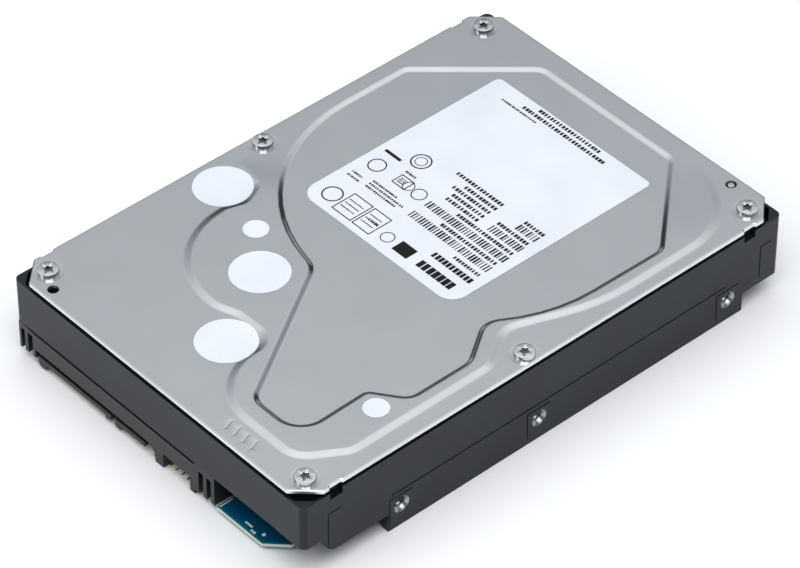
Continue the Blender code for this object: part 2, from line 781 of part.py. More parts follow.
def make_motor(finish_of):
    """What stands still in the spindle motor: the wound core and the bearing sleeve."""
    teeth = 9
    outline = []
    for tooth in range(teeth):
        middle = 360 * tooth / teeth
        outline += [polar(7.6, middle - 15, SPINDLE), polar(10.9, middle - 5, SPINDLE)]
        outline += [polar(11.0, middle - 15, SPINDLE), polar(12.2, middle - 16, SPINDLE)]
        outline += [polar(12.2, middle, SPINDLE), polar(12.2, middle + 16, SPINDLE)]
        outline += [polar(11.0, middle + 15, SPINDLE), polar(10.9, middle + 5, SPINDLE)]
        outline.append(polar(7.6, middle + 15, SPINDLE))
    bore = circle(6.4, 18, SPINDLE)
    plate("stator_core", [outline, bore], 4.2, 8.0, finish_of["core_steel"])
    sleeve = [(2.3, 11.8), (5.0, 11.8), (5.0, 1.8), (0, 1.8)]
    bore_wall = [(0, 2.6), (2.3, 2.6), (2.3, 11.8)]
    profile = sleeve + bore_wall
    turned("bearing_sleeve", profile, finish_of["bearing_steel"], (*SPINDLE, 0), sides=20)


def disk_level(number):
    """The underside of a platter, counted from 0 at the bottom."""
    return FIRST_PLATTER_Z + number * PLATTER_PITCH


def make_stack(finish_of, axis):
    """Everything that turns on the spindle: shaft, hub, magnet, disks, spacers and clamp."""
    alloy = finish_of["machined_aluminium"]
    here = (0, 0)
    hub_top = disk_level(PLATTER_COUNT - 1) + PLATTER_THICK - 0.07
    flange_top = FIRST_PLATTER_Z - GAP
    profile = [(12.2, hub_top), (12.2, flange_top), (FLANGE_RADIUS, flange_top)]
    profile += [(FLANGE_RADIUS, 4.4), (13.9, 4.4), (13.9, 8.6), (5.4, 8.6), (5.4, 12.2)]
    profile += [(2.3, 12.2), (2.3, hub_top)]
    hub = turned("spindle_hub", profile, alloy, (0, 0, 0), axis, 32, closed=True)
    screw_circle = [polar(9.0, 45 + 90 * i) for i in range(4)]
    holes = []
    for place in screw_circle:
        hole = cylinder("cut_clamp_hole", 1.3, 14.5, 30, place, alloy, cutters)
        hole.parent = axis
        holes.append(hole)
    cut(hub, holes)
    shade_round(hub)
    shaft = [(0, 18.8), (1.7, 18.8), (2.0, 18.5), (2.0, 2.9), (0, 2.9)]
    turned("spindle_shaft", shaft, finish_of["bearing_steel"], (0, 0, 0), axis, 16)
    ring("rotor_magnet", 12.5, 13.6, 4.4, 8.2, finish_of["magnet_nickel"], here, axis)
    for number in range(PLATTER_COUNT):
        low = disk_level(number)
        name = f"platter_{number + 1}"
        high = low + PLATTER_THICK
        ring(name, PLATTER_BORE, PLATTER_RADIUS, low, high, finish_of["disk_coating"], here, axis, 48)
        if number < PLATTER_COUNT - 1:
            name = f"platter_spacer_{number + 1}"
            next_low = disk_level(number + 1)
            ring(name, 12.5, FLANGE_RADIUS, high + GAP, next_low - GAP, alloy, here, axis)
    top = disk_level(PLATTER_COUNT - 1) + PLATTER_THICK
    clamp_low = top + GAP
    clamp_high = clamp_low + 1.3
    loops = [circle(FLANGE_RADIUS, 32), circle(3.4, 16)]
    loops += [circle(1.3, ROUND_SIDES, place) for place in screw_circle]
    clamp = plate("disk_clamp", loops, clamp_low, clamp_high, alloy, parent=axis)
    shade_round(clamp)
    head = clamp_high + GAP
    screw = [(0, head + 0.9), (1.8, head + 0.9), (2.0, head + 0.7), (2.0, head), (1.0, head)]
    screw += [(1.0, 15.2), (0, 15.0)]
    for number, (x, y) in enumerate(screw_circle, 1):
        turned(f"clamp_screw_{number}", screw, finish_of["screw_nickel"], (x, y, 0), axis)


# -------------------------------------------------------------- actuator

def arm_levels():
    """The underside of each arm: one under the lowest disk, one over each disk."""
    thick = 1.0
    between = (PLATTER_PITCH - PLATTER_THICK - thick) / 2
    levels = [FIRST_PLATTER_Z - 0.6 - thick]
    for number in range(PLATTER_COUNT):
        levels.append(disk_level(number) + PLATTER_THICK + between)
    return levels, thick


def wedge(near, far, near_half, far_half, radius):
    """A wedge-shaped outline that opens away from the pivot, towards -X."""
    corners = [(-near, near_half), (-far, far_half), (-far, -far_half), (-near, -near_half)]
    return rounded([(x, y, radius) for x, y in corners])


def make_arm(finish_of, axis):
    """The arm block: a bored hub, four arms towards the disks and a fork round the coil."""
    alloy = finish_of["machined_aluminium"]
    tip = 38.2
    levels, thick = arm_levels()
    block = plate("actuator_arm", [circle(7.6, 24), circle(4.9, 20)], 8.0, 21.6, alloy, parent=axis)
    outline = [(5.6, -4.4), (12.0, -4.9), (tip, -2.1), (tip, 2.1), (12.0, 4.9), (5.6, 4.4)]
    window = [(15.0, 0.0), (17.0, 2.2), (31.0, 1.1), (32.0, 0.0), (31.0, -1.1), (17.0, -2.2)]
    pieces = []
    for level in levels:
        high = level + thick
        pieces.append(plate("arm", [outline, window], level, high, alloy, (0, 0, 0), axis, cutters))
    fork = [(-5.6, 4.4), (-13.0, 5.4), *arc(30.6, 163, 197, 6), (-13.0, -5.4), (-5.6, -4.4)]
    coil_room = wedge(14.7, 28.9, 4.2, 7.8, 1.6)
    pieces.append(plate("fork", [fork, coil_room], 13.5, 15.5, alloy, (0, 0, 0), axis, cutters))
    join(block, pieces)
    coil = [wedge(15.0, 28.6, 3.85, 7.45, 1.4), wedge(17.6, 26.0, 1.9, 4.2, 0.6)]
    plate("voice_coil", coil, 13.2, 15.8, finish_of["coil_copper"], parent=axis)


def make_suspensions(finish_of, axis):
    """Six head suspensions, each a tapered spring with its slider, in pairs between disks."""
    steel = finish_of["bearing_steel"]
    sheet = 0.2
    reach = 0.53
    spring = [(38.5, -2.0), (50.0, -0.9), (51.6, -0.4), (55.5, -0.4)]
    outline = spring + [(x, -y) for x, y in reversed(spring)]
    number = 0
    for disk in range(PLATTER_COUNT):
        under = disk_level(disk)
        over = under + PLATTER_THICK
        for surface, away in ((under, -1), (over, 1)):
            number += 1
            near = surface + away * reach
            low, high = sorted((near, near + away * sheet))
            name = f"head_suspension_{number}"
            item = plate(name, [outline], low, high, steel, parent=axis)
            tip, root = sorted((surface + away * 0.28, near + away * sheet / 2))
            slider = box("slider", (49.6, -0.5, tip), (50.9, 0.5, root), steel, axis, cutters)
            join(item, [slider])


def make_pivot(finish_of):
    """The pivot that the arm block swings on: a fixed shaft and its bearing cartridge."""
    steel = finish_of["bearing_steel"]
    shaft = [(0, 22.6), (2.0, 22.6), (2.2, 22.4), (2.2, 7.3), (0, 7.3)]
    turned("pivot_shaft", shaft, steel, (*PIVOT, 0), sides=16)
    ring("pivot_bearing", 2.5, 4.6, 8.2, 21.4, steel, PIVOT, sides=20)


def yoke_outline():
    """The yoke plates: an arc round the pivot, spread out to the walls of the bay."""
    inner = arc(16.0, 268, 172, 10, PIVOT)
    return inner + [(-44.9, -27.5), (-44.9, -54.8), (-36.0, -62.4), (-13.8, -62.4)]


def make_voice_motor(finish_of):
    """The voice-coil motor's two yokes and two magnets, with the coil's room between them."""
    steel = finish_of["core_steel"]
    plate("lower_yoke", [yoke_outline()], FLOOR_Z + GAP, 9.7, steel)
    upper = plate("upper_yoke", [yoke_outline()], 19.3, 21.3, steel)
    posts = [(-42.6, -55.0), polar(24.0, 263, PIVOT), polar(26.0, 174, PIVOT)]
    join(upper, [cylinder("yoke_post", 1.8, 10.0, 20.0, place, steel, cutters) for place in posts])
    sector = arc(30.0, 190, 248, 12, PIVOT) + arc(16.5, 248, 190, 8, PIVOT)
    plate("lower_magnet", [sector], 10.0, 12.2, finish_of["magnet_nickel"])
    plate("upper_magnet", [sector], 16.8, 19.0, finish_of["magnet_nickel"])


def make_ramp(finish_of):
    """The ramp that the heads park on: a post with a thin finger beside each suspension."""
    plastic = finish_of["white_plastic"]
    foot = arc(57.8, 6.0, 17.4, 3, PIVOT) + arc(56.0, 17.4, 6.0, 3, PIVOT)
    ramp = plate("head_ramp", [foot], FLOOR_Z + GAP, 21.4, plastic)
    finger = arc(57.0, 12.0, 22.3, 4, PIVOT) + arc(52.4, 22.3, 12.0, 4, PIVOT)
    half = 0.17
    levels = [FIRST_PLATTER_Z - 0.12]
    levels += [disk_level(n) + (PLATTER_PITCH + PLATTER_THICK) / 2 for n in range(PLATTER_COUNT - 1)]
    levels.append(disk_level(PLATTER_COUNT - 1) + PLATTER_THICK + 0.12)
    fingers = [
        plate("finger", [finger], level - half, level + half, plastic, collection=cutters)
        for level in levels
    ]
    join(ramp, fingers)


def make_latch(finish_of, axis):
    """The lever that keeps the arm parked in a knock, and the pin that it swings on."""
    plastic = finish_of["white_plastic"]
    lever = [polar(1.9, angle) for angle in range(0, 181, 30)]
    lever += [(-1.9, -5.6), (-0.6, -7.0), (0.9, -7.0), (0.9, -5.6)]
    plate("actuator_latch", [lever, circle(0.95, 10)], 13.4, 15.6, plastic, parent=axis)
    pin = [(0, 18.8), (0.6, 18.8), (0.6, 10.0), (0, 10.0)]
    turned("latch_pin", pin, finish_of["bearing_steel"], (*LATCH, 0), sides=10)


def make_chamber_fittings(finish_of):
    """The flexible cable and its bracket, and the filter that cleans the air in the chamber."""
    start = Vector(polar(8.6, -35, PIVOT))
    bend = Vector((4.0, -40.0))
    end = Vector((7.2, -50.4))
    steps = 8
    route = []
    for i in range(steps + 1):
        t = i / steps
        route.append(tuple(start * (1 - t) ** 2 + bend * 2 * t * (1 - t) + end * t**2))
    half = 0.1
    strip = offset(route, half, closed=False)
    strip += list(reversed(offset(route, -half, closed=False)))
    plate("flex_cable", [strip], 10.0, 16.0, finish_of["flex_film"])
    seat = rounded([(4.0, -60.5, 2), (22.0, -60.5, 2), (22.0, -51.0, 2), (4.0, -51.0, 2)])
    plate("flex_bracket", [seat], FLOOR_Z + GAP, 12.0, finish_of["machined_aluminium"])
    frame = rounded([(35.0, -50.0, 1), (44.0, -50.0, 1), (44.0, -46.0, 1), (35.0, -46.0, 1)])
    plate("air_filter", [frame], FLOOR_Z + GAP, 20.0, finish_of["white_plastic"])


# ---------------------------------------------------------------- assembly

def clear_scene():
    for item in list(bpy.data.objects):
        bpy.data.objects.remove(item)


def axis_empty(name, place, angle=0.0):
    """An empty on an upright axis, for what turns on it."""
    empty = bpy.data.objects.new(name, None)
    empty.empty_display_size = 10 * MM
    empty.location = (place[0] * MM, place[1] * MM, 0)
    empty.rotation_euler = (0, 0, math.radians(angle))
    parts.objects.link(empty)
    return empty


def main():
    clear_scene()
    bpy.context.scene.collection.children.link(parts)
    bpy.context.scene.collection.children.link(cutters)
    cutters.hide_render = True
    finish_of = make_materials()
    spindle = axis_empty("spindle_axis", SPINDLE)
    pivot = axis_empty("pivot_axis", PIVOT, PARKED_ANGLE)
    latch = axis_empty("latch_axis", LATCH)
    bpy.context.view_layer.update()
    make_base(finish_of)
    make_cover(finish_of)
    make_cover_trim(finish_of)
    make_board(finish_of)
    make_connector(finish_of)
    make_motor(finish_of)
    make_stack(finish_of, spindle)
    make_arm(finish_of, pivot)
    make_suspensions(finish_of, pivot)
    make_pivot(finish_of)
    make_voice_motor(finish_of)
    make_ramp(finish_of)
    make_latch(finish_of, latch)
    make_chamber_fittings(finish_of)


main()
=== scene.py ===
# %% [markdown]
# # A 3.5-inch hard disk drive, cover up
#
# The drive is a black-coated casting with a stamped steel cover on top, a blue circuit board
# underneath and a moulded connector at one end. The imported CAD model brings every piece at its
# real size and place, and each body that moves. This lesson gives those pieces their finishes,
# and makes again the ones whose surface needs more than a plain solid: the pressed cover, the
# star-recess screws, the label with its print, the bevelled casting, the contacts and the pins.
#
# Lengths are in millimetres, and `MM` turns them into Blender's metres when a mesh is made.

import json
import math

import bmesh
import bpy
import numpy as np
from mathutils import Matrix, Vector
from mathutils.geometry import delaunay_2d_cdt


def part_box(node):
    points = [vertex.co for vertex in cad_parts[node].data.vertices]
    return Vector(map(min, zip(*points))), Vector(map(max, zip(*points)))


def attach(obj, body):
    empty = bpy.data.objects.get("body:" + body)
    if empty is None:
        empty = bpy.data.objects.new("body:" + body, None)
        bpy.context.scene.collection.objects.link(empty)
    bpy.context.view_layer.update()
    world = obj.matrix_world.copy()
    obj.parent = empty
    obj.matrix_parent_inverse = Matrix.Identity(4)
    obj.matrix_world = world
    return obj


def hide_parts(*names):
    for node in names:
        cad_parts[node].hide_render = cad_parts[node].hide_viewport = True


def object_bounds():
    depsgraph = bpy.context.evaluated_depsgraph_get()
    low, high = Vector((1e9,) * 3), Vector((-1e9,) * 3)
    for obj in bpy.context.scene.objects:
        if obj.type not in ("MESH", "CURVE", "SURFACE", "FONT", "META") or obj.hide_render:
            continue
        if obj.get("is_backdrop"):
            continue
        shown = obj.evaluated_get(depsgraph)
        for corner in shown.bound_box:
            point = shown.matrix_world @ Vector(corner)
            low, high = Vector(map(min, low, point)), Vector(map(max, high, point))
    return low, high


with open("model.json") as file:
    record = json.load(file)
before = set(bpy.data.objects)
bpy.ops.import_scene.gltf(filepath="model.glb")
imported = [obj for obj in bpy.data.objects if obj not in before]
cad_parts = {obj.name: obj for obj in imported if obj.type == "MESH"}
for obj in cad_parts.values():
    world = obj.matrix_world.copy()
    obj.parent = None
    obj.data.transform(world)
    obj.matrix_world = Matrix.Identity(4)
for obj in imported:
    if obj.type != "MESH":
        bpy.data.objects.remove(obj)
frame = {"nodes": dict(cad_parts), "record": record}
cad_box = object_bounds()
nodes = frame["nodes"]

MM = 0.001


def box_mm(node):
    """A CAD node's lowest and highest corners, in millimetres."""
    return [np.array(corner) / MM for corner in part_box(node)]


def middle_of(node):
    low, high = box_mm(node)
    return (low + high) / 2


print("nodes:", len(nodes), "size in mm:", np.round((cad_box[1] - cad_box[0]) / MM, 1))

# %% [markdown]
# ## The camera
#
# A long lens far away keeps the drive's edges nearly parallel, as in a product picture. The
# camera looks at a target from an azimuth and an elevation. It could be aimed with a Track To
# constraint, but a rotation worked out from the view direction needs nothing live in the file.

# %% Camera
AZIMUTH, ELEVATION = 48.32, 41.83
CAMERA_DISTANCE = 1025.1
CAMERA_TARGET = Vector((1.56, -1.64, 13.0))
FOCAL_LENGTH = 199.25


def direction(azimuth, elevation):
    """The way from the object to a viewer at this azimuth and elevation, in degrees."""
    a, e = math.radians(azimuth), math.radians(elevation)
    return Vector((math.sin(a) * math.cos(e), -math.cos(a) * math.cos(e), math.sin(e)))


camera = bpy.data.objects.new("camera", bpy.data.cameras.new("camera"))
bpy.context.scene.collection.objects.link(camera)
back = direction(AZIMUTH, ELEVATION)
camera.rotation_mode = "QUATERNION"
camera.rotation_quaternion = (-back).to_track_quat("-Z", "Y")
camera.location = (CAMERA_TARGET + back * CAMERA_DISTANCE) * MM
camera.data.lens = FOCAL_LENGTH
camera.data.sensor_width = 36.0
camera.data.clip_end = 10.0
bpy.context.scene.camera = camera
bpy.context.scene.view_settings.view_transform = "Standard"
print("camera at", np.round(np.array(camera.location), 3))

# %% [markdown]
# ## Colours and the one node helper
#
# Colours are chosen as the hex values one sees on a screen. Shaders work in linear light, so one
# function converts them. Another small function adds a node with its settings and its links, and
# every material below is made with it.

# %% Colours and nodes


def linear(hex_colour):
    """An sRGB colour such as '#aabbcc' as linear red, green, blue and alpha."""
    values = [int(hex_colour[i:i + 2], 16) / 255 for i in (1, 3, 5)]
    return [v / 12.92 if v <= 0.04045 else ((v + 0.055) / 1.055) ** 2.4 for v in values] + [1.0]


def add_node(tree, kind, settings=None, **inputs):
    """A node of this kind, with its settings, and its inputs as values or as output sockets."""
    made = tree.nodes.new(kind)
    for name, value in (settings or {}).items():
        setattr(made, name, value)
    for name, value in inputs.items():
        key = int(name[1:]) if name[0] == "_" else name.replace("_", " ")
        socket = made.inputs[key]
        if isinstance(value, bpy.types.NodeSocket):
            tree.links.new(value, socket)
        else:
            socket.default_value = value
    return made


# %% [markdown]
# ## The floor
#
# The drive lies on a plain white sweep. A large flat grid is enough for it, because the long
# lens never sees its edge. It sits a hair under the rails, so that no two faces share a plane.

# %% The floor
FLOOR_SIZE = 6000.0
FLOOR_GAP = 0.05


def flat_sheet(name, size, z):
    """A square grid of this size at this level, in millimetres."""
    bm = bmesh.new()
    bmesh.ops.create_grid(bm, x_segments=8, y_segments=8, size=size / 2 * MM)
    bmesh.ops.translate(bm, verts=bm.verts, vec=(0, 0, z * MM))
    mesh = bpy.data.meshes.new(name)
    bm.to_mesh(mesh)
    bm.free()
    sheet = bpy.data.objects.new(name, mesh)
    bpy.context.scene.collection.objects.link(sheet)
    return sheet


# Matt white paper, unbleached by a few percent in patches: the eye sees a soft shadow and no gloss.
paper = bpy.data.materials.new("floor_paper")
paper.use_nodes = True
paper_shader = paper.node_tree.nodes["Principled BSDF"]
grain = add_node(paper.node_tree, "ShaderNodeTexNoise", Scale=40.0, Detail=3.0)
tint = add_node(
    paper.node_tree, "ShaderNodeMix", {"data_type": "RGBA"},
    Factor=grain.outputs["Fac"], _6=linear("#f3f4f6"), _7=linear("#f7f8fa"),
)
paper.node_tree.links.new(tint.outputs[2], paper_shader.inputs["Base Color"])
paper_shader.inputs["Roughness"].default_value = 0.8
floor = flat_sheet("floor", FLOOR_SIZE, -FLOOR_GAP)
floor.data.materials.append(paper)
floor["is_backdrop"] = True

# %% [markdown]
# ## The surround
#
# A sheet of metal shows the sky that it mirrors, so the surround is drawn for the cover: even
# grey at the height that its flat mirrors, white overhead for the bends that face the viewer,
# and a dark strip low down that draws a thin dark line along each bend that turns away. An image
# of a real studio could do this, but a colour ramp over height needs no file. The surround is
# dimmer on the viewer's side, which keeps the black walls deep.

# %% The surround
world = bpy.data.worlds.new("studio")
bpy.context.scene.world = world
world.use_nodes = True
sky = world.node_tree
background = sky.nodes["Background"]
where = add_node(sky, "ShaderNodeTexCoord")
height = add_node(sky, "ShaderNodeSeparateXYZ", Vector=where.outputs["Generated"])
shade = add_node(sky, "ShaderNodeValToRGB", Fac=height.outputs["Z"])
FAR_STRENGTH, NEAR_STRENGTH = 1.45, 0.65
LIGHT_BY_HEIGHT = (
    (0.0, "#a6aaae"), (0.11, "#7a7e82"), (0.18, "#22252a"), (0.33, "#40444a"), (0.50, "#999da1"),
    (0.66, "#bfc3c6"), (0.78, "#dfe2e4"), (0.90, "#ffffff"),
)
while len(shade.color_ramp.elements) < len(LIGHT_BY_HEIGHT):
    shade.color_ramp.elements.new(0.5)
for stop, (share, colour) in zip(shade.color_ramp.elements, LIGHT_BY_HEIGHT):
    stop.position = share
    stop.color = linear(colour)
sky.links.new(shade.outputs["Color"], background.inputs["Color"])
toward_camera = add_node(
    sky, "ShaderNodeVectorMath", {"operation": "DOT_PRODUCT"},
    _0=where.outputs["Generated"], _1=direction(AZIMUTH, 0),
)
dimmed = add_node(
    sky, "ShaderNodeMapRange", Value=toward_camera.outputs["Value"],
    From_Min=0.0, From_Max=0.75, To_Min=FAR_STRENGTH, To_Max=NEAR_STRENGTH,
)
sky.links.new(dimmed.outputs["Result"], background.inputs["Strength"])
print("surround: strength", FAR_STRENGTH, "behind,", NEAR_STRENGTH, "in front")

# %% [markdown]
# ## Two soft panels
#
# Two large area lights stand far off. One is high on the viewer's side and lights the cover's
# bends and the label. The other is low on the left and opens up the connector's end.

# %% The panels


def panel(name, azimuth, elevation, distance, size, watts):
    """A large soft light panel that faces the drive."""
    light = bpy.data.lights.new(name, "AREA")
    light.shape = "RECTANGLE"
    light.size, light.size_y = [side * MM for side in size]
    light.energy = watts
    item = bpy.data.objects.new(name, light)
    bpy.context.scene.collection.objects.link(item)
    away = direction(azimuth, elevation)
    item.rotation_mode = "QUATERNION"
    item.rotation_quaternion = (-away).to_track_quat("-Z", "Y")
    item.location = away * distance * MM
    return item


panel("near_panel", 50, 62, 1100, (1000, 700), 6.0)
panel("left_panel", -20, 30, 1300, (500, 700), 2.0)

# %% [markdown]
# ## Outlines
#
# Pressed and cut sheet metal has outlines of straight runs and arcs. A curve object could hold
# them, but the sheet's height needs distances to them too, so they are plain lists of points. A
# corner is written as its sharp point and a radius.

# %% Corners into arcs
ARC_STEP = 6.0


def round_corner(before, corner, after, radius):
    """The arc of this radius that joins the lines on each side of a corner."""
    here = Vector(corner)
    to_before = (Vector(before) - here).normalized()
    to_after = (Vector(after) - here).normalized()
    half = to_before.angle(to_after) / 2
    reach = radius / math.tan(half)
    centre = here + (to_before + to_after).normalized() * radius / math.sin(half)
    start = here + to_before * reach - centre
    sweep = start.angle_signed(here + to_after * reach - centre)
    steps = max(2, round(abs(math.degrees(sweep)) / ARC_STEP))
    points = []
    for i in range(steps + 1):
        spoke = start.copy()
        spoke.rotate(Matrix.Rotation(-sweep * i / steps, 2))
        points.append(tuple(centre + spoke))
    return points


def rounded(corners, closed=True):
    """An outline from corners (x, y, radius), with an arc at each corner that has a radius."""
    points = []
    for i, (x, y, radius) in enumerate(corners):
        at_end = not closed and i in (0, len(corners) - 1)
        if at_end or not radius:
            points.append((x, y))
            continue
        after = corners[(i + 1) % len(corners)][:2]
        points += round_corner(corners[i - 1][:2], (x, y), after, radius)
    return points


def circle(radius, sides, centre=(0.0, 0.0)):
    turns = np.arange(sides) * 2 * np.pi / sides
    return [(centre[0] + radius * math.cos(t), centre[1] + radius * math.sin(t)) for t in turns]


# %% [markdown]
# ## Rows beside a line
#
# A bend needs several close rows of points that run side by side. Each line is first given
# points at even steps, and then moved to its left by a distance for each row.

# %% Rows of points beside a line


def spaced(points, step, closed=True):
    """The same line with extra points, so that none is further than a step from the next."""
    count = len(points)
    made = []
    for i in range(count if closed else count - 1):
        start, end = np.array(points[i]), np.array(points[(i + 1) % count])
        parts = max(1, math.ceil(np.linalg.norm(end - start) / step))
        made += [tuple(start + (end - start) * k / parts) for k in range(parts)]
    return made if closed else made + [tuple(points[-1])]


def offset(points, distance, closed=True):
    """The same line moved to its left by a distance."""
    line = np.array(points)
    before, after = np.roll(line, 1, 0), np.roll(line, -1, 0)
    if not closed:
        before[0], after[-1] = line[0], line[-1]
    along = after - before
    along /= np.linalg.norm(along, axis=1)[:, None]
    return [tuple(p) for p in line + np.stack([-along[:, 1], along[:, 0]], 1) * distance]


# %% [markdown]
# ## Distance to a line
#
# The height of a pressed sheet depends on how far a place is from each pressed line, and on
# which side. A BVH tree in Blender gives distances too, but not the side, and a loop over the
# line's short pieces with NumPy is quick enough here.

# %% How far a place is from a line


def distance_to(line, places, closed=True):
    """Each place's distance to a line, positive on the line's left."""
    line, places = np.array(line), np.atleast_2d(places)
    starts = line if closed else line[:-1]
    ends = np.roll(line, -1, 0) if closed else line[1:]
    along = ends - starts
    length = (along ** 2).sum(1)
    best = np.full(len(places), np.inf)
    side = np.ones(len(places))
    for start, run, size in zip(starts, along, length):
        gap = places - start
        share = np.clip(gap @ run / size, 0, 1)
        apart = np.linalg.norm(gap - share[:, None] * run, axis=1)
        cross = run[0] * gap[:, 1] - run[1] * gap[:, 0]
        nearer = apart < best - 1e-9
        best = np.where(nearer, apart, best)
        side = np.where(nearer, np.where(cross >= 0, 1.0, -1.0), side)
    return best * side


def contains(loop, places):
    """Which places are inside a closed outline."""
    line, places = np.array(loop), np.atleast_2d(places)
    hit = np.zeros(len(places), bool)
    for (x1, y1), (x2, y2) in zip(line, np.roll(line, -1, 0)):
        if y1 == y2:
            continue
        crosses = (y1 > places[:, 1]) != (y2 > places[:, 1])
        hit ^= crosses & (places[:, 0] < x1 + (places[:, 1] - y1) * (x2 - x1) / (y2 - y1))
    return hit


def smooth(share):
    share = np.clip(share, 0, 1)
    return share * share * (3 - 2 * share)


unit_square = rounded([(0, 0, 0), (1, 0, 0), (1, 1, 0), (0, 1, 0)])
print("middle of a unit square is", distance_to(unit_square, (0.5, 0.5))[0], "from its edge")


# %% [markdown]
# ## The stamped cover
#
# The cover is one sheet of steel, 0.8 mm thick, blanked and pressed in a die: a flat flange, a
# raised band that stiffens it round the actuator, and a panel pressed back down over the disks.
# Pressed steps are smooth and a millimetre or two wide, so faces cut by Booleans would look
# wrong. So the sheet starts as its pressed lines: the cut edge, the panel's edge and the band's.

# %% The pressed lines
SHEET = 0.8
RAISED_SLOPE = 2.2
RECESS_SLOPE = 1.7
FADE_AT_LEFT, FADE_AT_RIGHT = 12.0, 30.0
DIMPLE_DEEP = 0.04
cover_high = box_mm("top_cover")[1]
BAND_Z = cover_high[2]
FLANGE_Z = BAND_Z - 0.4
RECESS_Z = FLANGE_Z - 0.4
EDGE_X, EDGE_Y = cover_high[0], cover_high[1]
NOTCH_DEEP = 0.5
COVER_SCREWS = [tuple(middle_of(f"cover_screw_{n}")[:2]) for n in range(1, 7)]
DATUM_HOLES = ((36.75, 70.5), (-39.6, -70.5))
BAND_ENDS = ((26.0, 70.6), (-46.6, -7.4))


def cover_edge():
    """The sheet's outline: cut corners, and a shallow notch near each end of each long side."""
    inset = EDGE_X - NOTCH_DEEP
    half = [(45.1, -EDGE_Y, 1.2), (EDGE_X, -67.4, 1.2), (EDGE_X, -65.8, 0.3), (inset, -65.4, 0.3)]
    half += [(inset, -62.2, 0.3), (EDGE_X, -61.8, 0.3), (EDGE_X, 61.0, 0.3), (inset, 61.4, 0.3)]
    half += [(inset, 64.6, 0.3), (EDGE_X, 65.0, 0.3), (EDGE_X, 67.4, 1.2), (45.1, EDGE_Y, 1.2)]
    return rounded(half + [(-x, y, r) for x, y, r in reversed(half)])


def recess_edge():
    """The panel pressed back down, over the disks and the arm's sweep."""
    upper = [(-23.4, 65.9, 3), (20.3, 65.9, 3), (41.9, 41.9, 4), (41.4, 9.0, 41.3)]
    lower = [(32.6, -4.6, 6), (40.6, -16.3, 5), (40.6, -33.5, 4), (32.5, -39.4, 3)]
    lower += [(32.9, -59.2, 6), (18.9, -59.2, 4), (-5.6, -20.5, 8)]
    return rounded(upper + lower + [(-44.9, -12.4, 43.4), (-44.9, 41.9, 2)])


def band_edge():
    """The raised band's outer edge, from the far right corner round to the left side."""
    right = [(*BAND_ENDS[0], 0), (46.6, 60.4, 20), (46.7, 19.1, 50), (38.1, -3.2, 7)]
    right += [(45.4, -13.6, 6), (45.4, -54.6, 6), (38.5, -65.4, 7), (7.0, -65.4, 15.5)]
    left = [(6.8, -44.3, 5), (-5.0, -44.4, 8), (-10.5, -46.5, 8), (-35.2, -46.5, 22.5)]
    left += [(-35.2, -23.0, 5), (-33.6, -18.0, 4), (-36.2, -12.4, 3), (-44.9, -10.5, 1.5)]
    return rounded(right + left + [(*BAND_ENDS[1], 0)], closed=False)


OUTER, RECESS, BAND = cover_edge(), recess_edge(), band_edge()
print("pressed lines:", len(OUTER), len(RECESS), len(BAND), "points")

# %% [markdown]
# ## How high the sheet stands
#
# Each step of a die bends the sheet over a foot, runs straight and bends back over a crown. The
# height at a place follows from its distance to each pressed line, so one function of the place
# gives the whole sheet. The label and the seals use the same function to lie on it.

# %% The sheet's height
ROLL_OVER = 0.3
ROLL_DEEP = 0.12
DIMPLE_RADIUS, DIMPLE_SIDE = 3.7, 0.6
STROKE_LEAN, STROKE_DEEP, STROKE_SIDE = 0.9, 0.06, 0.25
DIGIT_STROKES = [(20.4 + 2.9 * k, -68.0, -70.6) for k in range(4)]


def step_profile(share, foot, crown):
    """A pressed step from 0 to 1: a bend over its foot, a straight run, a bend over its crown."""
    share = np.clip(share, 0, 1)
    run = 1 - (foot + crown) / 2
    low = np.minimum(share, foot)
    middle = np.clip(share - foot, 0, 1 - foot - crown)
    high = np.clip(share - 1 + crown, 0, crown)
    return (low ** 2 / 2 / foot + middle + high - high ** 2 / 2 / crown) / run


def cover_height(places):
    """The top surface's level at each place, in millimetres."""
    places = np.atleast_2d(places)
    first, last = np.array(BAND_ENDS[0]), np.array(BAND_ENDS[1])
    span = np.linalg.norm(first - last)
    along = (first - last) / span
    depth = (places[:, 0] - last[0]) * along[1] - (places[:, 1] - last[1]) * along[0]
    fade = np.interp((places - last) @ along / span, (0, 1), (FADE_AT_LEFT, FADE_AT_RIGHT))
    inward = -distance_to(BAND, places, closed=False)
    raised = step_profile(inward / RAISED_SLOPE + 0.5, 0.2, 0.2) * smooth(depth / fade)
    level = FLANGE_Z + (BAND_Z - FLANGE_Z) * raised
    from_recess = distance_to(RECESS, places)
    level = RECESS_Z + (level - RECESS_Z) * step_profile(from_recess / RECESS_SLOPE, 0.25, 0.3)
    for centre in COVER_SCREWS:
        apart = np.linalg.norm(places - centre, axis=1)
        level -= DIMPLE_DEEP * (1 - smooth((apart - DIMPLE_RADIUS) / DIMPLE_SIDE + 1))
    for x, high, low in DIGIT_STROKES:
        stroke = distance_to([(x, high), (x + STROKE_LEAN, low)], places, closed=False)
        level -= STROKE_DEEP * (1 - smooth((np.abs(stroke) - 0.1) / STROKE_SIDE))
    rim = np.abs(distance_to(OUTER, places))
    return level - ROLL_DEEP * np.clip(1 - rim / ROLL_OVER, 0, 1) ** 2


print("levels in mm:", np.round(cover_height([(0, 20), (30, -50), (45, -70)]), 2))


# %% [markdown]
# ## From lines to a mesh
#
# A plain grid would cut across the bends. A constrained triangulation keeps each row of points
# along a pressed line as edges, and fills the flats between with a loose grid. Each point is
# then lifted to its height. Solidify closes the rim and the holes, and the underside is set
# straight below the top.

# %% Triangulating between the lines


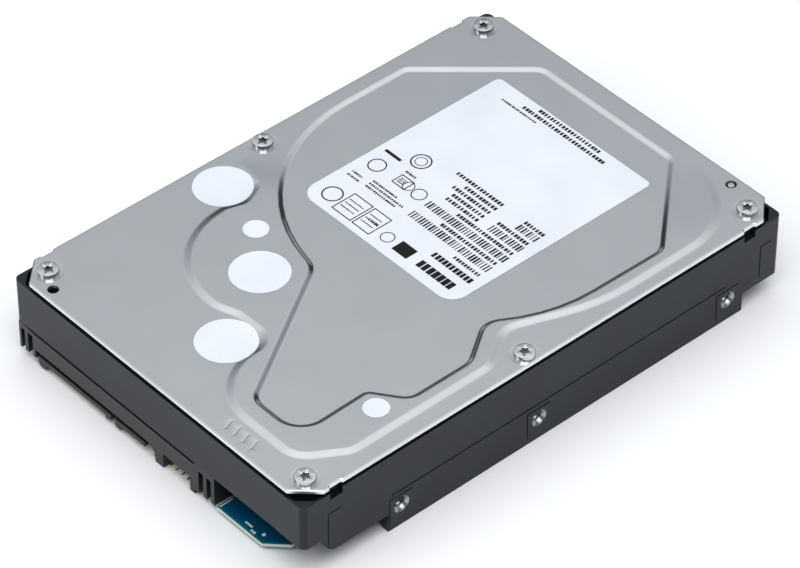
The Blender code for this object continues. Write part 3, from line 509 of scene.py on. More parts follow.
def triangulated(lines, spare_points, outline, holes):
    """Flat places and triangles inside an outline, with rows of edges along each line."""
    points, edges = [], []
    for line, closed in lines:
        first = len(points)
        points += [Vector(p) for p in line]
        edges += [(first + i, first + i + 1) for i in range(len(line) - 1)]
        if closed:
            edges.append((len(points) - 1, first))
    points += [Vector(p) for p in spare_points]
    flat, _, faces, _, _, _ = delaunay_2d_cdt(points, edges, [], 0, 1e-5)
    places = np.array([tuple(p) for p in flat])
    middles = np.array([places[list(face)].mean(0) for face in faces])
    keep = contains(outline, middles)
    for hole in holes:
        keep &= ~contains(hole, middles)
    return places, [face for face, kept in zip(faces, keep) if kept]


def grid_points(lines, step, clear):
    """A grid of points over the sheet that keeps clear of the lines."""
    xs = np.arange(-EDGE_X, EDGE_X, step)
    ys = np.arange(-EDGE_Y, EDGE_Y, step)
    grid = np.array([(x + (step / 2 if j % 2 else 0), y) for j, y in enumerate(ys) for x in xs])
    for line, closed in lines:
        grid = grid[np.abs(distance_to(line, grid, closed)) > clear]
    return grid


# %% [markdown]
# ## A solid sheet from flat places
#
# The same steps make the cover and every film on it: triangulate, lift each point to its height,
# turn all faces upwards, and thicken. A film only adds its own lift and thickness.

# %% From places to a solid sheet


def new_piece(name, places, faces, material=None):
    """An object at the origin from points in millimetres."""
    mesh = bpy.data.meshes.new(name)
    mesh.from_pydata([tuple(float(v) * MM for v in p) for p in places], [], faces)
    mesh.validate()
    item = bpy.data.objects.new(name, mesh)
    bpy.context.scene.collection.objects.link(item)
    if material:
        mesh.materials.append(material)
    return item


def applied(item):
    """Makes an object's modifiers part of its mesh."""
    graph = bpy.context.evaluated_depsgraph_get()
    mesh = bpy.data.meshes.new_from_object(item.evaluated_get(graph))
    item.modifiers.clear()
    item.data = mesh
    return item


def sheet_on_cover(name, lines, spare, outline, holes, lift, thick, material=None):
    """A thin sheet that follows the cover's height, thickened downwards from its top face."""
    places, faces = triangulated(lines, spare, outline, holes)
    levels = cover_height(places) + lift
    used = sorted({i for face in faces for i in face})
    number = {old: new for new, old in enumerate(used)}
    solid = np.column_stack([places[used], levels[used]])
    item = new_piece(name, solid, [[number[i] for i in face] for face in faces], material)
    bm = bmesh.new()
    bm.from_mesh(item.data)
    bmesh.ops.recalc_face_normals(bm, faces=bm.faces)
    if sum(face.normal.z for face in bm.faces) < 0:
        bmesh.ops.reverse_faces(bm, faces=bm.faces)
    bm.to_mesh(item.data)
    bm.free()
    shell = item.modifiers.new("sheet", "SOLIDIFY")
    shell.thickness = thick * MM
    shell.offset = -1
    applied(item)
    corners = item.data.vertices
    for top, under in zip(corners[:len(used)], corners[len(used):]):
        under.co = top.co - Vector((0, 0, thick * MM))
    item.data.shade_smooth()
    item.data.set_sharp_from_angle(angle=math.radians(42))
    return item


# %% [markdown]
# ## The cover itself
#
# The rows of points are close together where the sheet bends and absent where it is flat. The
# holes for the screws and the two datum pins are left out of the triangulation.

# %% The cover sheet
SCREW_HOLE, DATUM_HOLE, HOLE_SIDES = 1.5, 1.4, 24
GRID_STEP, GRID_CLEAR = 3.0, 1.7
holes = [circle(SCREW_HOLE, HOLE_SIDES, place) for place in COVER_SCREWS]
holes += [circle(DATUM_HOLE, HOLE_SIDES, place) for place in DATUM_HOLES]
lines = [(spaced(OUTER, 2.0), True)]
for row in (0.1, 0.2, ROLL_OVER, ROLL_OVER + 0.15):
    lines.append((offset(spaced(OUTER, 2.0), row), True))
lines += [(hole, True) for hole in holes]
for centre in COVER_SCREWS:
    lines += [(circle(radius, 32, centre), True) for radius in np.linspace(3.0, 3.8, 5)]
for share in (-0.12, 0, 0.06, 0.14, 0.24, 0.36, 0.5, 0.64, 0.78, 0.9, 1.0, 1.1):
    lines.append((spaced(offset(RECESS, RECESS_SLOPE * share), 1.2), True))
for share in np.linspace(-0.56, 0.56, 13):
    lines.append((spaced(offset(BAND, -RAISED_SLOPE * share, closed=False), 1.5, False), False))
for x, high, low in DIGIT_STROKES:
    for side in (-0.45, -0.3, -0.15, 0, 0.15, 0.3, 0.45):
        stroke = [(x + side, high + 0.3), (x + STROKE_LEAN + side, low - 0.3)]
        lines.append((spaced(stroke, 0.4, False), False))
key_lines = [(OUTER, True), (RECESS, True), (BAND, False)]
spare = grid_points(key_lines, GRID_STEP, GRID_CLEAR)
cover = sheet_on_cover("cover_sheet", lines, spare, OUTER, holes, 0, SHEET)
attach(cover, "housing")
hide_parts("top_cover")
print("cover:", len(cover.data.polygons), "faces")

# %% [markdown]
# ## How a finish is made
#
# Every real finish varies a little: in colour over a centimetre or two, in gloss over a
# millimetre, and in height over its own grain. One function lays those three noises under a
# Principled BSDF, on Object coordinates, with sizes given in millimetres. A finish that has a
# pattern of its own, such as a rolled or turned one, stretches the grain along one axis.

# %% Finish maker
MICRON = 1e-6
CLOUD_SIZE = 14.0
FINE_SHARE = 0.35
GLOSS_SPREAD = 0.12


def finish(name, dark, light, metallic, roughness, grain, stretch=(1, 1, 1), bump=2.0, **sockets):
    """A procedural material: colour between two hexes, gloss and height from its grain in mm."""
    made = bpy.data.materials.new(name)
    made.use_nodes = True
    tree = made.node_tree
    surface = tree.nodes["Principled BSDF"]
    coords = add_node(tree, "ShaderNodeTexCoord")
    laid = add_node(tree, "ShaderNodeMapping", Vector=coords.outputs["Object"], Scale=stretch)
    fine = add_node(
        tree, "ShaderNodeTexNoise", Vector=laid.outputs["Vector"], Scale=1 / (grain * MM), Detail=3.0
    )
    broad = add_node(
        tree, "ShaderNodeTexNoise", Vector=coords.outputs["Object"],
        Scale=1 / (CLOUD_SIZE * MM), Detail=2.0,
    )
    both = add_node(
        tree, "ShaderNodeMath", {"operation": "MULTIPLY_ADD"},
        _0=fine.outputs["Fac"], _1=FINE_SHARE, _2=broad.outputs["Fac"],
    )
    share = add_node(
        tree, "ShaderNodeMapRange", Value=both.outputs[0], From_Min=0.45, From_Max=0.90
    )
    colour = add_node(
        tree, "ShaderNodeMix", {"data_type": "RGBA"},
        _0=share.outputs["Result"], _6=linear(dark), _7=linear(light),
    )
    gloss = add_node(
        tree, "ShaderNodeMapRange", Value=fine.outputs["Fac"], From_Min=0.3, From_Max=0.7,
        To_Min=roughness * (1 - GLOSS_SPREAD), To_Max=roughness * (1 + GLOSS_SPREAD),
    )
    relief = add_node(
        tree, "ShaderNodeBump", Strength=1.0, Distance=bump * MICRON, Height=fine.outputs["Fac"]
    )
    tree.links.new(colour.outputs[2], surface.inputs["Base Color"])
    tree.links.new(gloss.outputs["Result"], surface.inputs["Roughness"])
    tree.links.new(relief.outputs["Normal"], surface.inputs["Normal"])
    surface.inputs["Metallic"].default_value = metallic
    for socket, value in sockets.items():
        surface.inputs[socket.replace("_", " ")].default_value = value
    return made


# %% [markdown]
# ## The cover's steel
#
# The sheet is rolled stainless steel with a satin mill finish: fine lines along the rolling
# direction, too fine to see one by one, so they are drawn a fifth of a millimetre wide and ten
# times as long. The cut edge is sheared, torn metal with no finish, and its colour is painted
# much lighter than the steel's, as a painted highlight for the bright line along the edge. The
# two finishes are chosen by which way a face looks.

# %% Rolled steel on the cover
# An even grey that only turns bright or dark where the sheet bends.
rolled_steel = finish(
    "rolled_satin_steel", "#bdc0c2", "#c1c4c6", 1.0, 0.13, 0.2, stretch=(1, 0.08, 1), bump=0.02
)
# A thin line round the sheet, rougher than its faces; its light colour is a painted highlight.
sheared_steel_painted_highlight = finish(
    "sheared_steel_edge", "#dddfe1", "#f0f1f2", 1.0, 0.36, 0.2, stretch=(1, 1, 0.2), bump=3.0
)
cover.data.materials.append(rolled_steel)
cover.data.materials.append(sheared_steel_painted_highlight)
EDGE_TILT = 0.4
# Faces that look sideways take the edge colour with its painted highlight.
for face in cover.data.polygons:
    face.material_index = int(abs(face.normal.z) < EDGE_TILT)
print("edge faces:", sum(face.material_index for face in cover.data.polygons))

# %% [markdown]
# ## Growing repeated pieces
#
# Screws, pins, contacts, threads and printed bars all repeat. Geometry Nodes make them: a tree
# takes the places as the points of a small mesh and sizes as named inputs. One function starts
# a tree, and one grows a plain mesh from it, so nothing live is left on the piece.

# %% Tree helpers


def new_tree(name, **inputs):
    """An empty Geometry Nodes tree with named inputs, its input node and its output node."""
    tree = bpy.data.node_groups.new(name, "GeometryNodeTree")
    tree.interface.new_socket("Geometry", in_out="INPUT", socket_type="NodeSocketGeometry")
    tree.interface.new_socket("Geometry", in_out="OUTPUT", socket_type="NodeSocketGeometry")
    for key, kind in inputs.items():
        title = key.replace("_", " ")
        tree.interface.new_socket(title, in_out="INPUT", socket_type=f"NodeSocket{kind}")
    return tree, tree.nodes.new("NodeGroupInput"), tree.nodes.new("NodeGroupOutput")


def close_tree(tree, given, result, instances):
    """Ends a tree as every tree here ends: realised, with its material, to the output."""
    real = add_node(tree, "GeometryNodeRealizeInstances", Geometry=instances)
    dressed = add_node(
        tree, "GeometryNodeSetMaterial",
        Geometry=real.outputs["Geometry"], Material=given.outputs["Material"],
    )
    tree.links.new(dressed.outputs["Geometry"], result.inputs["Geometry"])


def grown(name, tree, places, attributes=None, **values):
    """A plain mesh grown by a tree from places in millimetres, each with its own attributes."""
    seed = bpy.data.meshes.new(name)
    seed.from_pydata([tuple(float(v) * MM for v in place) for place in places], [], [])
    for key, numbers in (attributes or {}).items():
        seed.attributes.new(key, "FLOAT", "POINT").data.foreach_set("value", list(numbers))
    item = bpy.data.objects.new(name, seed)
    bpy.context.scene.collection.objects.link(item)
    modifier = item.modifiers.new("grow", "NODES")
    modifier.node_group = tree
    for socket in tree.interface.items_tree:
        key = socket.name.replace(" ", "_")
        if key in values:
            modifier[socket.identifier] = values[key]
    applied(item)
    item.data.shade_smooth()
    item.data.set_sharp_from_angle(angle=math.radians(38))
    print(name, "has", len(item.data.polygons), "faces")
    return item


def settle(item, body, slot, *replaced):
    """Puts a finished piece on its body and hides the nodes it stands for; the slot is not used."""
    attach(item, body)
    if replaced:
        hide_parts(*replaced)


# %% [markdown]
# ## Turned pieces
#
# Screws and threads are round about an axis. Spin could make them in a mesh, but in a node tree
# a grid can be bent round: its columns become the turn, and its rows become rings. An Index
# Switch gives each ring its own radius and level, from plain numbers or from the tree's inputs.

# %% Turned pieces from a grid


def polar_grid(tree, sides, *columns):
    """A grid to bend round an axis: its mesh, each point's turn, and its ring's value per column."""
    rings = len(columns[0])
    grid = add_node(
        tree, "GeometryNodeMeshGrid",
        Size_X=1.0, Size_Y=1.0, Vertices_X=sides + 1, Vertices_Y=rings,
    )
    here = add_node(tree, "GeometryNodeInputPosition")
    parts = add_node(tree, "ShaderNodeSeparateXYZ", Vector=here.outputs["Position"])
    turn = add_node(
        tree, "ShaderNodeMath", {"operation": "MULTIPLY_ADD"},
        _0=parts.outputs["X"], _1=-2 * math.pi, _2=-math.pi,
    )
    ring = add_node(
        tree, "ShaderNodeMath", {"operation": "MULTIPLY_ADD"},
        _0=parts.outputs["Y"], _1=float(rings - 1), _2=(rings - 1) / 2 + 0.01,
    )
    picked = []
    for column in columns:
        pick = add_node(tree, "GeometryNodeIndexSwitch", {"data_type": "FLOAT"}, _0=ring.outputs[0])
        while len(pick.index_switch_items) < rings:
            pick.index_switch_items.new()
        for number, value in enumerate(column, 1):
            if isinstance(value, float):
                pick.inputs[number].default_value = value
            else:
                tree.links.new(value, pick.inputs[number])
        picked.append(pick.outputs["Output"])
    return grid.outputs["Mesh"], turn.outputs[0], picked


def bent_round(tree, mesh, turn, radius, level):
    """The grid bent round Z at these radii and levels, with its seam and centres joined."""
    ways = []
    for operation in ("COSINE", "SINE"):
        way = add_node(tree, "ShaderNodeMath", {"operation": operation}, _0=turn)
        long = add_node(
            tree, "ShaderNodeMath", {"operation": "MULTIPLY"}, _0=radius, _1=way.outputs[0]
        )
        ways.append(long.outputs[0])
    place = add_node(tree, "ShaderNodeCombineXYZ", X=ways[0], Y=ways[1], Z=level)
    bent = add_node(
        tree, "GeometryNodeSetPosition", Geometry=mesh, Position=place.outputs["Vector"]
    )
    closed = add_node(
        tree, "GeometryNodeMergeByDistance", Geometry=bent.outputs["Geometry"], Distance=0.001 * MM
    )
    return closed.outputs["Geometry"]


# %% [markdown]
# ## Star-recess screws
#
# The cover is held by six low cheese-head screws with a star recess. Each ring of the screw is a
# row below, from the middle of the recess out over the head and down the shank. The star is the
# recess's radius swung by a cosine that runs six times round, so it needs no cutter.

# %% The screw tree
SCREW_SIDES = 48
STAR_SWING = 0.17


def screw_tree():
    """A turned screw at each point, with a star recess and a random turn."""
    tree, given, result = new_tree(
        "star_screw", Head_Radius="Float", Head_Height="Float", Recess_Radius="Float",
        Recess_Floor="Float", Shank_Radius="Float", Shank_Length="Float", Material="Material",
    )
    # Each ring: its radius and then its level, as an input, a factor and a length to add in mm.
    rings = (
        ("Recess Radius", 0.0, 0.0, "Recess Floor", 1.0, 0.0),
        ("Recess Radius", 0.82, 0.0, "Recess Floor", 1.0, 0.0),
        ("Recess Radius", 1.0, 0.0, "Head Height", 1.0, -0.06),
        ("Recess Radius", 1.0, 0.08, "Head Height", 1.0, 0.0),
        ("Head Radius", 1.0, -0.22, "Head Height", 1.0, 0.0),
        ("Head Radius", 1.0, -0.07, "Head Height", 1.0, -0.04),
        ("Head Radius", 1.0, 0.0, "Head Height", 1.0, -0.16),
        ("Head Radius", 1.0, 0.0, "Head Height", 0.0, 0.0),
        ("Shank Radius", 1.0, 0.0, "Head Height", 0.0, 0.0),
        ("Shank Radius", 1.0, 0.0, "Shank Length", -1.0, 0.0),
        ("Shank Radius", 0.0, 0.0, "Shank Length", -1.0, 0.0),
    )
    radii, levels = [], []
    for row in rings:
        for column, (source, factor, plus) in ((radii, row[:3]), (levels, row[3:])):
            length = add_node(
                tree, "ShaderNodeMath", {"operation": "MULTIPLY_ADD"},
                _0=given.outputs[source], _1=factor, _2=plus * MM,
            )
            column.append(length.outputs[0])
    swings = [0.0, STAR_SWING, STAR_SWING, STAR_SWING - 0.02] + [0.0] * (len(rings) - 4)
    mesh, turn, (own_radius, level, own_swing) = polar_grid(tree, SCREW_SIDES, radii, levels, swings)
    sixfold = add_node(tree, "ShaderNodeMath", {"operation": "MULTIPLY"}, _0=turn, _1=6.0)
    lobes = add_node(tree, "ShaderNodeMath", {"operation": "COSINE"}, _0=sixfold.outputs[0])
    swing = add_node(
        tree, "ShaderNodeMath", {"operation": "MULTIPLY_ADD"},
        _0=lobes.outputs[0], _1=own_swing, _2=1.0,
    )
    radius = add_node(
        tree, "ShaderNodeMath", {"operation": "MULTIPLY"}, _0=own_radius, _1=swing.outputs[0]
    )
    screw = bent_round(tree, mesh, turn, radius.outputs[0], level)
    spun = add_node(
        tree, "FunctionNodeRandomValue", {"data_type": "FLOAT_VECTOR"},
        _0=(0, 0, 0), _1=(0, 0, 2 * math.pi), Seed=7,
    )
    placed = add_node(
        tree, "GeometryNodeInstanceOnPoints", Points=given.outputs["Geometry"],
        Instance=screw, Rotation=spun.outputs["Value"],
    )
    close_tree(tree, given, result, placed.outputs["Instances"])
    return tree


star_screw = screw_tree()
print("screw tree:", len(star_screw.nodes), "nodes")

# %% [markdown]
# ## Nickel plating and the screws in place
#
# The screws are steel, turned and nickel plated. One tree makes the cover's six, the four under
# the board, which are turned over in their mesh, and the plain locating pin in a datum hole.

# %% Cover and board screws
# Bright but not a mirror, and a little warmer than the cover, so each head reads by itself.
nickel = finish("nickel_plated_steel", "#c3c4c6", "#cfd0d2", 1.0, 0.2, 0.5, bump=0.6)
HEAD_RADIUS = 2.55
HEAD_HEIGHT = 1.15
RECESS_DEEP = 1.8
HEAD_GAP = 0.005
head_low = FLANGE_Z - DIMPLE_DEEP + HEAD_GAP
cover_screws = grown(
    "cover_star_screws", star_screw, [(*place, head_low) for place in COVER_SCREWS],
    Head_Radius=HEAD_RADIUS * MM, Head_Height=HEAD_HEIGHT * MM, Recess_Radius=0.95 * MM,
    Recess_Floor=(HEAD_HEIGHT - RECESS_DEEP) * MM, Shank_Radius=1.2 * MM,
    Shank_Length=8.5 * MM, Material=nickel,
)
settle(cover_screws, "housing", "screw_nickel", *[f"cover_screw_{n}" for n in range(1, 7)])

PIN_BELOW_FLANGE = 1.0
PIN_PLACE = (*DATUM_HOLES[0], FLANGE_Z - PIN_BELOW_FLANGE)
locating_pin = grown(
    "locating_pin", star_screw, [PIN_PLACE], Head_Radius=0.85 * MM, Head_Height=0.9 * MM,
    Recess_Radius=0.25 * MM, Recess_Floor=0.7 * MM, Shank_Radius=0.8 * MM,
    Shank_Length=2.0 * MM, Material=nickel,
)
settle(locating_pin, "housing", "screw_nickel")

BOARD_SCREWS = [tuple(middle_of(f"board_screw_{n}")[:2]) for n in range(1, 5)]
BOARD_UNDERSIDE = box_mm("circuit_board")[0][2]
board_screws = grown(
    "board_star_screws", star_screw, [(x, -y, -BOARD_UNDERSIDE) for x, y in BOARD_SCREWS],
    Head_Radius=2.3 * MM, Head_Height=0.85 * MM, Recess_Radius=0.95 * MM,
    Recess_Floor=0.25 * MM, Shank_Radius=1.0 * MM, Shank_Length=4.0 * MM, Material=nickel,
)
board_screws.data.transform(Matrix.Rotation(math.pi, 4, "X"))
settle(board_screws, "housing", "screw_nickel", *[f"board_screw_{n}" for n in range(1, 5)])

# %% [markdown]
# ## Label and seals
#
# The product label lies in the pressed panel, and five round seals close the service holes.
# They are 0.1 mm polyester film with rounded corners, and one seal runs up over the band's
# edge. They are made like the cover, from its own height, so they lie on it everywhere.

# %% Film on the cover
FILM = 0.1
FILM_GAP = 0.01
LABEL_RADII = (4.5, 1.5)
label_low, label_high = box_mm("product_label")


def film_piece(name, outline, node):
    """A film with this outline that lies on the cover and stands for a CAD node."""
    rows = [(spaced(outline, 1.0), True), (offset(spaced(outline, 1.0), 0.15), True)]
    xs, ys = [[getattr(np.array(outline)[:, k], side)() for side in ("min", "max")] for k in (0, 1)]
    grid = np.array([(x, y) for x in np.arange(*xs, 1.4) for y in np.arange(*ys, 1.4)])
    spare = grid[contains(outline, grid) & (np.abs(distance_to(outline, grid)) > 0.8)]
    item = sheet_on_cover(name, rows, spare, outline, [], FILM + FILM_GAP, FILM, film_white)
    settle(item, "housing", "label_film", node)
    return item


# Smooth white film with a thin clear coat: the brightest and cleanest white on the drive.
film_white = finish(
    "polyester_film_white", "#dbdfe8", "#e4e8f0", 0.0, 0.38, 0.6, bump=1.5, Coat_Weight=0.15
)
(x1, y1), (x2, y2) = label_low[:2], label_high[:2]
near, far = LABEL_RADII
label_outline = rounded([(x1, y1, near), (x2, y1, near), (x2, y2, far), (x1, y2, far)])
film_piece("product_label_film", label_outline, "product_label")
for number in range(1, 6):
    low, high = box_mm(f"hole_seal_{number}")
    seal = circle((high[0] - low[0]) / 2, 64, middle_of(f"hole_seal_{number}")[:2])
    film_piece(f"round_seal_{number}", seal, f"hole_seal_{number}")
print("films lie", FILM_GAP, "mm over the cover and are", FILM, "mm thick")

# %% [markdown]
# ## The print on the label
#
# A drive's label carries a name, numbers, barcodes and marks. Here they are plain bars and
# rings that say nothing, laid out as such a label is. Print could be a texture, but a film of
# ink is geometry too: each row is one point with its length, height and pitch, the tree
# doubles it into bars along the row and varies their width, and the bars are 0.02 mm thick.

# %% The printed-row tree
INK = 0.02
ROUND_UP = 1.001


def row_tree():
    """A row of bars along X from each point, sized by the point's own attributes."""
    tree, given, result = new_tree("printed_row", Seed="Int", Material="Material")

    own = {}
    for name in ("length", "tall", "pitch", "least", "most"):
        asked = add_node(
            tree, "GeometryNodeInputNamedAttribute", {"data_type": "FLOAT"}, Name=name
        )
        own[name] = asked.outputs["Attribute"]
    amount = add_node(
        tree, "ShaderNodeMath", {"operation": "DIVIDE"}, _0=own["length"], _1=own["pitch"]
    )
    doubled = add_node(
        tree, "GeometryNodeDuplicateElements", {"domain": "POINT"},
        Geometry=given.outputs["Geometry"], Amount=amount.outputs[0],
    )
    step = add_node(
        tree, "ShaderNodeMath", {"operation": "MULTIPLY"},
        _0=doubled.outputs["Duplicate Index"], _1=own["pitch"],
    )
    shift = add_node(tree, "ShaderNodeCombineXYZ", X=step.outputs[0])
    moved = add_node(
        tree, "GeometryNodeSetPosition",
        Geometry=doubled.outputs["Geometry"], Offset=shift.outputs["Vector"],
    )
    chance = add_node(
        tree, "FunctionNodeRandomValue", {"data_type": "FLOAT"},
        _2=own["least"], _3=own["most"], Seed=given.outputs["Seed"],
    )
    wide = add_node(
        tree, "ShaderNodeMath", {"operation": "MULTIPLY"}, _0=chance.outputs[1], _1=own["pitch"]
    )
    size = add_node(
        tree, "ShaderNodeCombineXYZ", X=wide.outputs[0], Y=own["tall"], Z=INK * MM
    )
    bar = add_node(tree, "GeometryNodeMeshCube", Size=(1, 1, 1))
    corner = add_node(
        tree, "GeometryNodeTransform", Geometry=bar.outputs["Mesh"], Translation=(0.5, 0, 0.5)
    )
    placed = add_node(
        tree, "GeometryNodeInstanceOnPoints", Points=moved.outputs["Geometry"],
        Instance=corner.outputs["Geometry"], Scale=size.outputs["Vector"],
    )
    close_tree(tree, given, result, placed.outputs["Instances"])
    return tree


printed_row = row_tree()


def print_rows(name, listed, z, seed, material, slot):
    """Rows of bars: each (x, y, length, height, pitch, least and most share of the pitch)."""
    columns = {"length": [row[2] * MM * ROUND_UP for row in listed]}
    columns["tall"] = [row[3] * MM for row in listed]
    columns["pitch"] = [row[4] * MM for row in listed]
    columns["least"], columns["most"] = zip(*[row[5] for row in listed])
    places = [(row[0], row[1], z) for row in listed]
    item = grown(name, printed_row, places, columns, Seed=seed, Material=material)
    settle(item, "housing", slot)


# %% [markdown]
# ## Laying the label out
#
# Each row below is one line of the label. Narrow bars of mixed width stand for codes, wider ones
# for words, and a row with one full bar is a solid mark or an edge of a box.

# %% The label's rows
# Thermal-transfer ink is carbon in wax: a flat, even black with hardly any gloss.
ink = finish("black_label_ink", "#0c0d10", "#17181b", 0.0, 0.6, 0.4, bump=1.0, Specular_IOR_Level=0.2)
WORDS, CODE, SOLID = (0.5, 0.85), (0.3, 0.7), (1.0, 1.0)
printed = [
    (8.5, -2.0, 13.4, 2.5, 1.68, (0.72, 0.9)), (8.5, 2.4, 13.2, 1.8, 1.2, (0.66, 0.86)),
    (12.5, 5.2, 9.0, 1.0, 0.9, WORDS), (-5.6, 8.2, 27.4, 2.4, 0.85, CODE),
    (-5.6, 13.3, 27.4, 2.4, 0.85, CODE), (10.4, 18.4, 11.2, 2.3, 0.85, CODE),
    (14.4, 23.4, 7.2, 2.2, 0.85, CODE), (2.0, 10.7, 19.6, 1.1, 0.95, WORDS),
    (2.0, 15.8, 19.6, 1.1, 0.95, WORDS), (10.4, 20.8, 11.2, 1.1, 0.95, WORDS),
    (14.4, 25.6, 7.2, 1.1, 0.95, WORDS), (-4.0, 17.8, 11.0, 1.1, 1.0, WORDS),
    (-4.0, 19.7, 11.0, 1.1, 1.0, WORDS), (-6.0, 21.7, 13.0, 1.1, 1.0, WORDS),
    (-4.0, 23.7, 11.0, 1.1, 1.0, WORDS), (-9.0, 25.8, 16.0, 1.1, 1.0, WORDS),
    (-16.5, 53.8, 28.5, 1.1, 1.0, WORDS), (-13.0, 55.8, 21.0, 1.1, 1.0, WORDS),
    (-22.0, 52.0, 12.0, 0.6, 0.7, WORDS), (-20.0, 6.8, 11.0, 0.6, 0.7, WORDS),
    (-20.0, 8.0, 12.0, 0.6, 0.7, WORDS), (-20.0, 9.2, 9.0, 0.6, 0.7, WORDS),
    (-26.0, 6.5, 4.5, 0.6, 0.6, WORDS), (-26.0, 8.0, 4.0, 0.6, 0.6, WORDS),
    (-17.5, 17.2, 4.0, 0.7, 0.6, WORDS), (-10.5, -0.6, 3.6, 0.9, 0.7, WORDS),
]
printed += [(-26.5, 18.8, 5.4, 0.9, 5.4, SOLID), (0.6, -1.6, 5.0, 3.8, 5.0, SOLID)]
for x, y, wide, tall in ((-19.5, -4.2, 6.6, 7.2), (-12.4, -4.2, 6.0, 7.2), (-17.2, 12.4, 4.4, 3.4)):
    edge = 0.3
    printed += [(x, y, wide, edge, wide, SOLID), (x, y + tall, wide, edge, wide, SOLID)]
    printed += [(x, y + tall / 2, edge, tall, edge, SOLID)]
    printed += [(x + wide - edge, y + tall / 2, edge, tall, edge, SOLID)]
    printed += [(x + 0.8, y + tall * k, wide - 1.6, 0.4, 0.6, WORDS) for k in (0.3, 0.5, 0.7)]
ink_z = RECESS_Z + FILM + FILM_GAP + 0.002
print_rows("label_print_rows", printed, ink_z, 11, ink, "label_film")

# %% [markdown]
# ## Round marks
#
# The label's round marks are rings of ink. Curve to Mesh sweeps a flat section round a circle,
# and each ring scales it by its own radius, so the line grows a little with the ring.

# %% Printed rings


def ring_tree():
    """A flat ring of ink at each point, scaled by the point's own radius."""
    tree, given, result = new_tree("printed_ring", Line="Float", Material="Material")
    round_line = add_node(tree, "GeometryNodeCurvePrimitiveCircle", Resolution=40, Radius=1.0)
    section = add_node(
        tree, "GeometryNodeCurvePrimitiveQuadrilateral", Width=given.outputs["Line"], Height=INK
    )
    tube = add_node(
        tree, "GeometryNodeCurveToMesh",
        Curve=round_line.outputs["Curve"], Profile_Curve=section.outputs["Curve"],
    )
    radius = add_node(
        tree, "GeometryNodeInputNamedAttribute", {"data_type": "FLOAT"}, Name="radius"
    )
    size = add_node(
        tree, "ShaderNodeCombineXYZ",
        X=radius.outputs["Attribute"], Y=radius.outputs["Attribute"], Z=MM,
    )
    placed = add_node(
        tree, "GeometryNodeInstanceOnPoints", Points=given.outputs["Geometry"],
        Instance=tube.outputs["Mesh"], Scale=size.outputs["Vector"],
    )
    close_tree(tree, given, result, placed.outputs["Instances"])
    return tree


LINE_SHARE = 0.15
marks = [(-17.7, 22.2, 2.5), (-22.8, -1.0, 2.5), (-2.8, -1.6, 1.7), (-23.6, 13.6, 2.2)]
marks += [(-13.0, 14.0, 1.5), (-9.2, 13.9, 1.9), (-17.7, 22.2, 1.5)]
rings = grown(
    "label_print_rings", ring_tree(), [(x, y, ink_z + INK / 2) for x, y, _ in marks],
    {"radius": [radius * MM for _, _, radius in marks]}, Line=LINE_SHARE, Material=ink,
)
settle(rings, "housing", "label_film")
print("rings are", round(rings.dimensions.z / MM, 3), "mm thick")

# %% [markdown]
# ## The cast base
#
# The base is die-cast aluminium with a thin black coat laid by an electric bath. The coat rounds
# every edge a little, and that round edge is what catches the light along the rim. The shape is
# already right in the CAD solid. Its mesh is loose triangles, so a copy is merged, its flat faces
# are joined up again and its edges are bevelled. Weighted normals then keep the flats flat.

# %% Edge-worn copies of CAD solids
MERGE = 0.002
FLAT_WITHIN = 0.6
BEVEL_ABOVE = 28
SHARP_ABOVE = 40


def rounded_copy(name, node, width, segments, material, cutters=()):
    """A merged copy of a CAD node, cut by the cutters, with its sharp edges bevelled."""
    mesh = nodes[node].data.copy()
    mesh.materials.clear()
    item = bpy.data.objects.new(name, mesh)
    bpy.context.scene.collection.objects.link(item)
    bm = bmesh.new()
    bm.from_mesh(mesh)
    bmesh.ops.remove_doubles(bm, verts=bm.verts, dist=MERGE * MM)
    bm.to_mesh(mesh)
    bm.free()
    for cutter in cutters:
        boolean = item.modifiers.new("cut", "BOOLEAN")
        boolean.object = cutter
        boolean.solver = "EXACT"
    applied(item)
    for cutter in cutters:
        bpy.data.objects.remove(cutter)
    bm = bmesh.new()
    bm.from_mesh(item.data)
    bmesh.ops.remove_doubles(bm, verts=bm.verts, dist=MERGE * MM)
    bmesh.ops.dissolve_limit(
        bm, angle_limit=math.radians(FLAT_WITHIN), verts=bm.verts, edges=bm.edges,
        delimit={"NORMAL"},
    )
    sharp = [
        edge for edge in bm.edges
        if len(edge.link_faces) == 2 and edge.calc_face_angle(0) > math.radians(BEVEL_ABOVE)
        and edge.calc_length() > width * 1.5 * MM
    ]
    bmesh.ops.bevel(
        bm, geom=sharp, offset=width * MM, offset_type="OFFSET", segments=segments, profile=0.5,
        affect="EDGES", clamp_overlap=True,
    )
    bm.to_mesh(item.data)
    bm.free()
    item.data.materials.append(material)
    item.data.shade_smooth()
    item.data.set_sharp_from_angle(angle=math.radians(SHARP_ABOVE))
    even = item.modifiers.new("even", "WEIGHTED_NORMAL")
    even.keep_sharp = True
    applied(item)
    print(name, "has", len(item.data.polygons), "faces")
    return item


# %% [markdown]
# ## The mounting holes' mouths
#
# Three holes on each side and two under each rail take the screws of a drive bay, at the places
# that the 3.5-inch standard gives. They are drilled after coating, and a countersink opens each
# mouth. A cone for each, cut by the exact Boolean, leaves a clean edge round it.

# %% The base with its mouths
SIDE_X, END_Y = cad_box[1][0] / MM, cad_box[1][1] / MM
SIDE_HOLES_FROM_END, SIDE_HOLE_Z = (28.5, 70.11, 130.1), 6.35
RAIL_HOLES_FROM_END, RAIL_HOLE_X = (41.28, 85.73), 47.625
MOUTH_BACK_RADIUS, MOUTH_RADIUS, MOUTH_DEEP = 1.7, 2.4, 0.7
MOUNT_HOLES = [
    (side * SIDE_X, y - END_Y, SIDE_HOLE_Z, side * 90) for side in (-1, 1)
    for y in SIDE_HOLES_FROM_END
]
MOUNT_HOLES += [
    (side * RAIL_HOLE_X, y - END_Y, 0.0, 180) for side in (-1, 1) for y in RAIL_HOLES_FROM_END
]


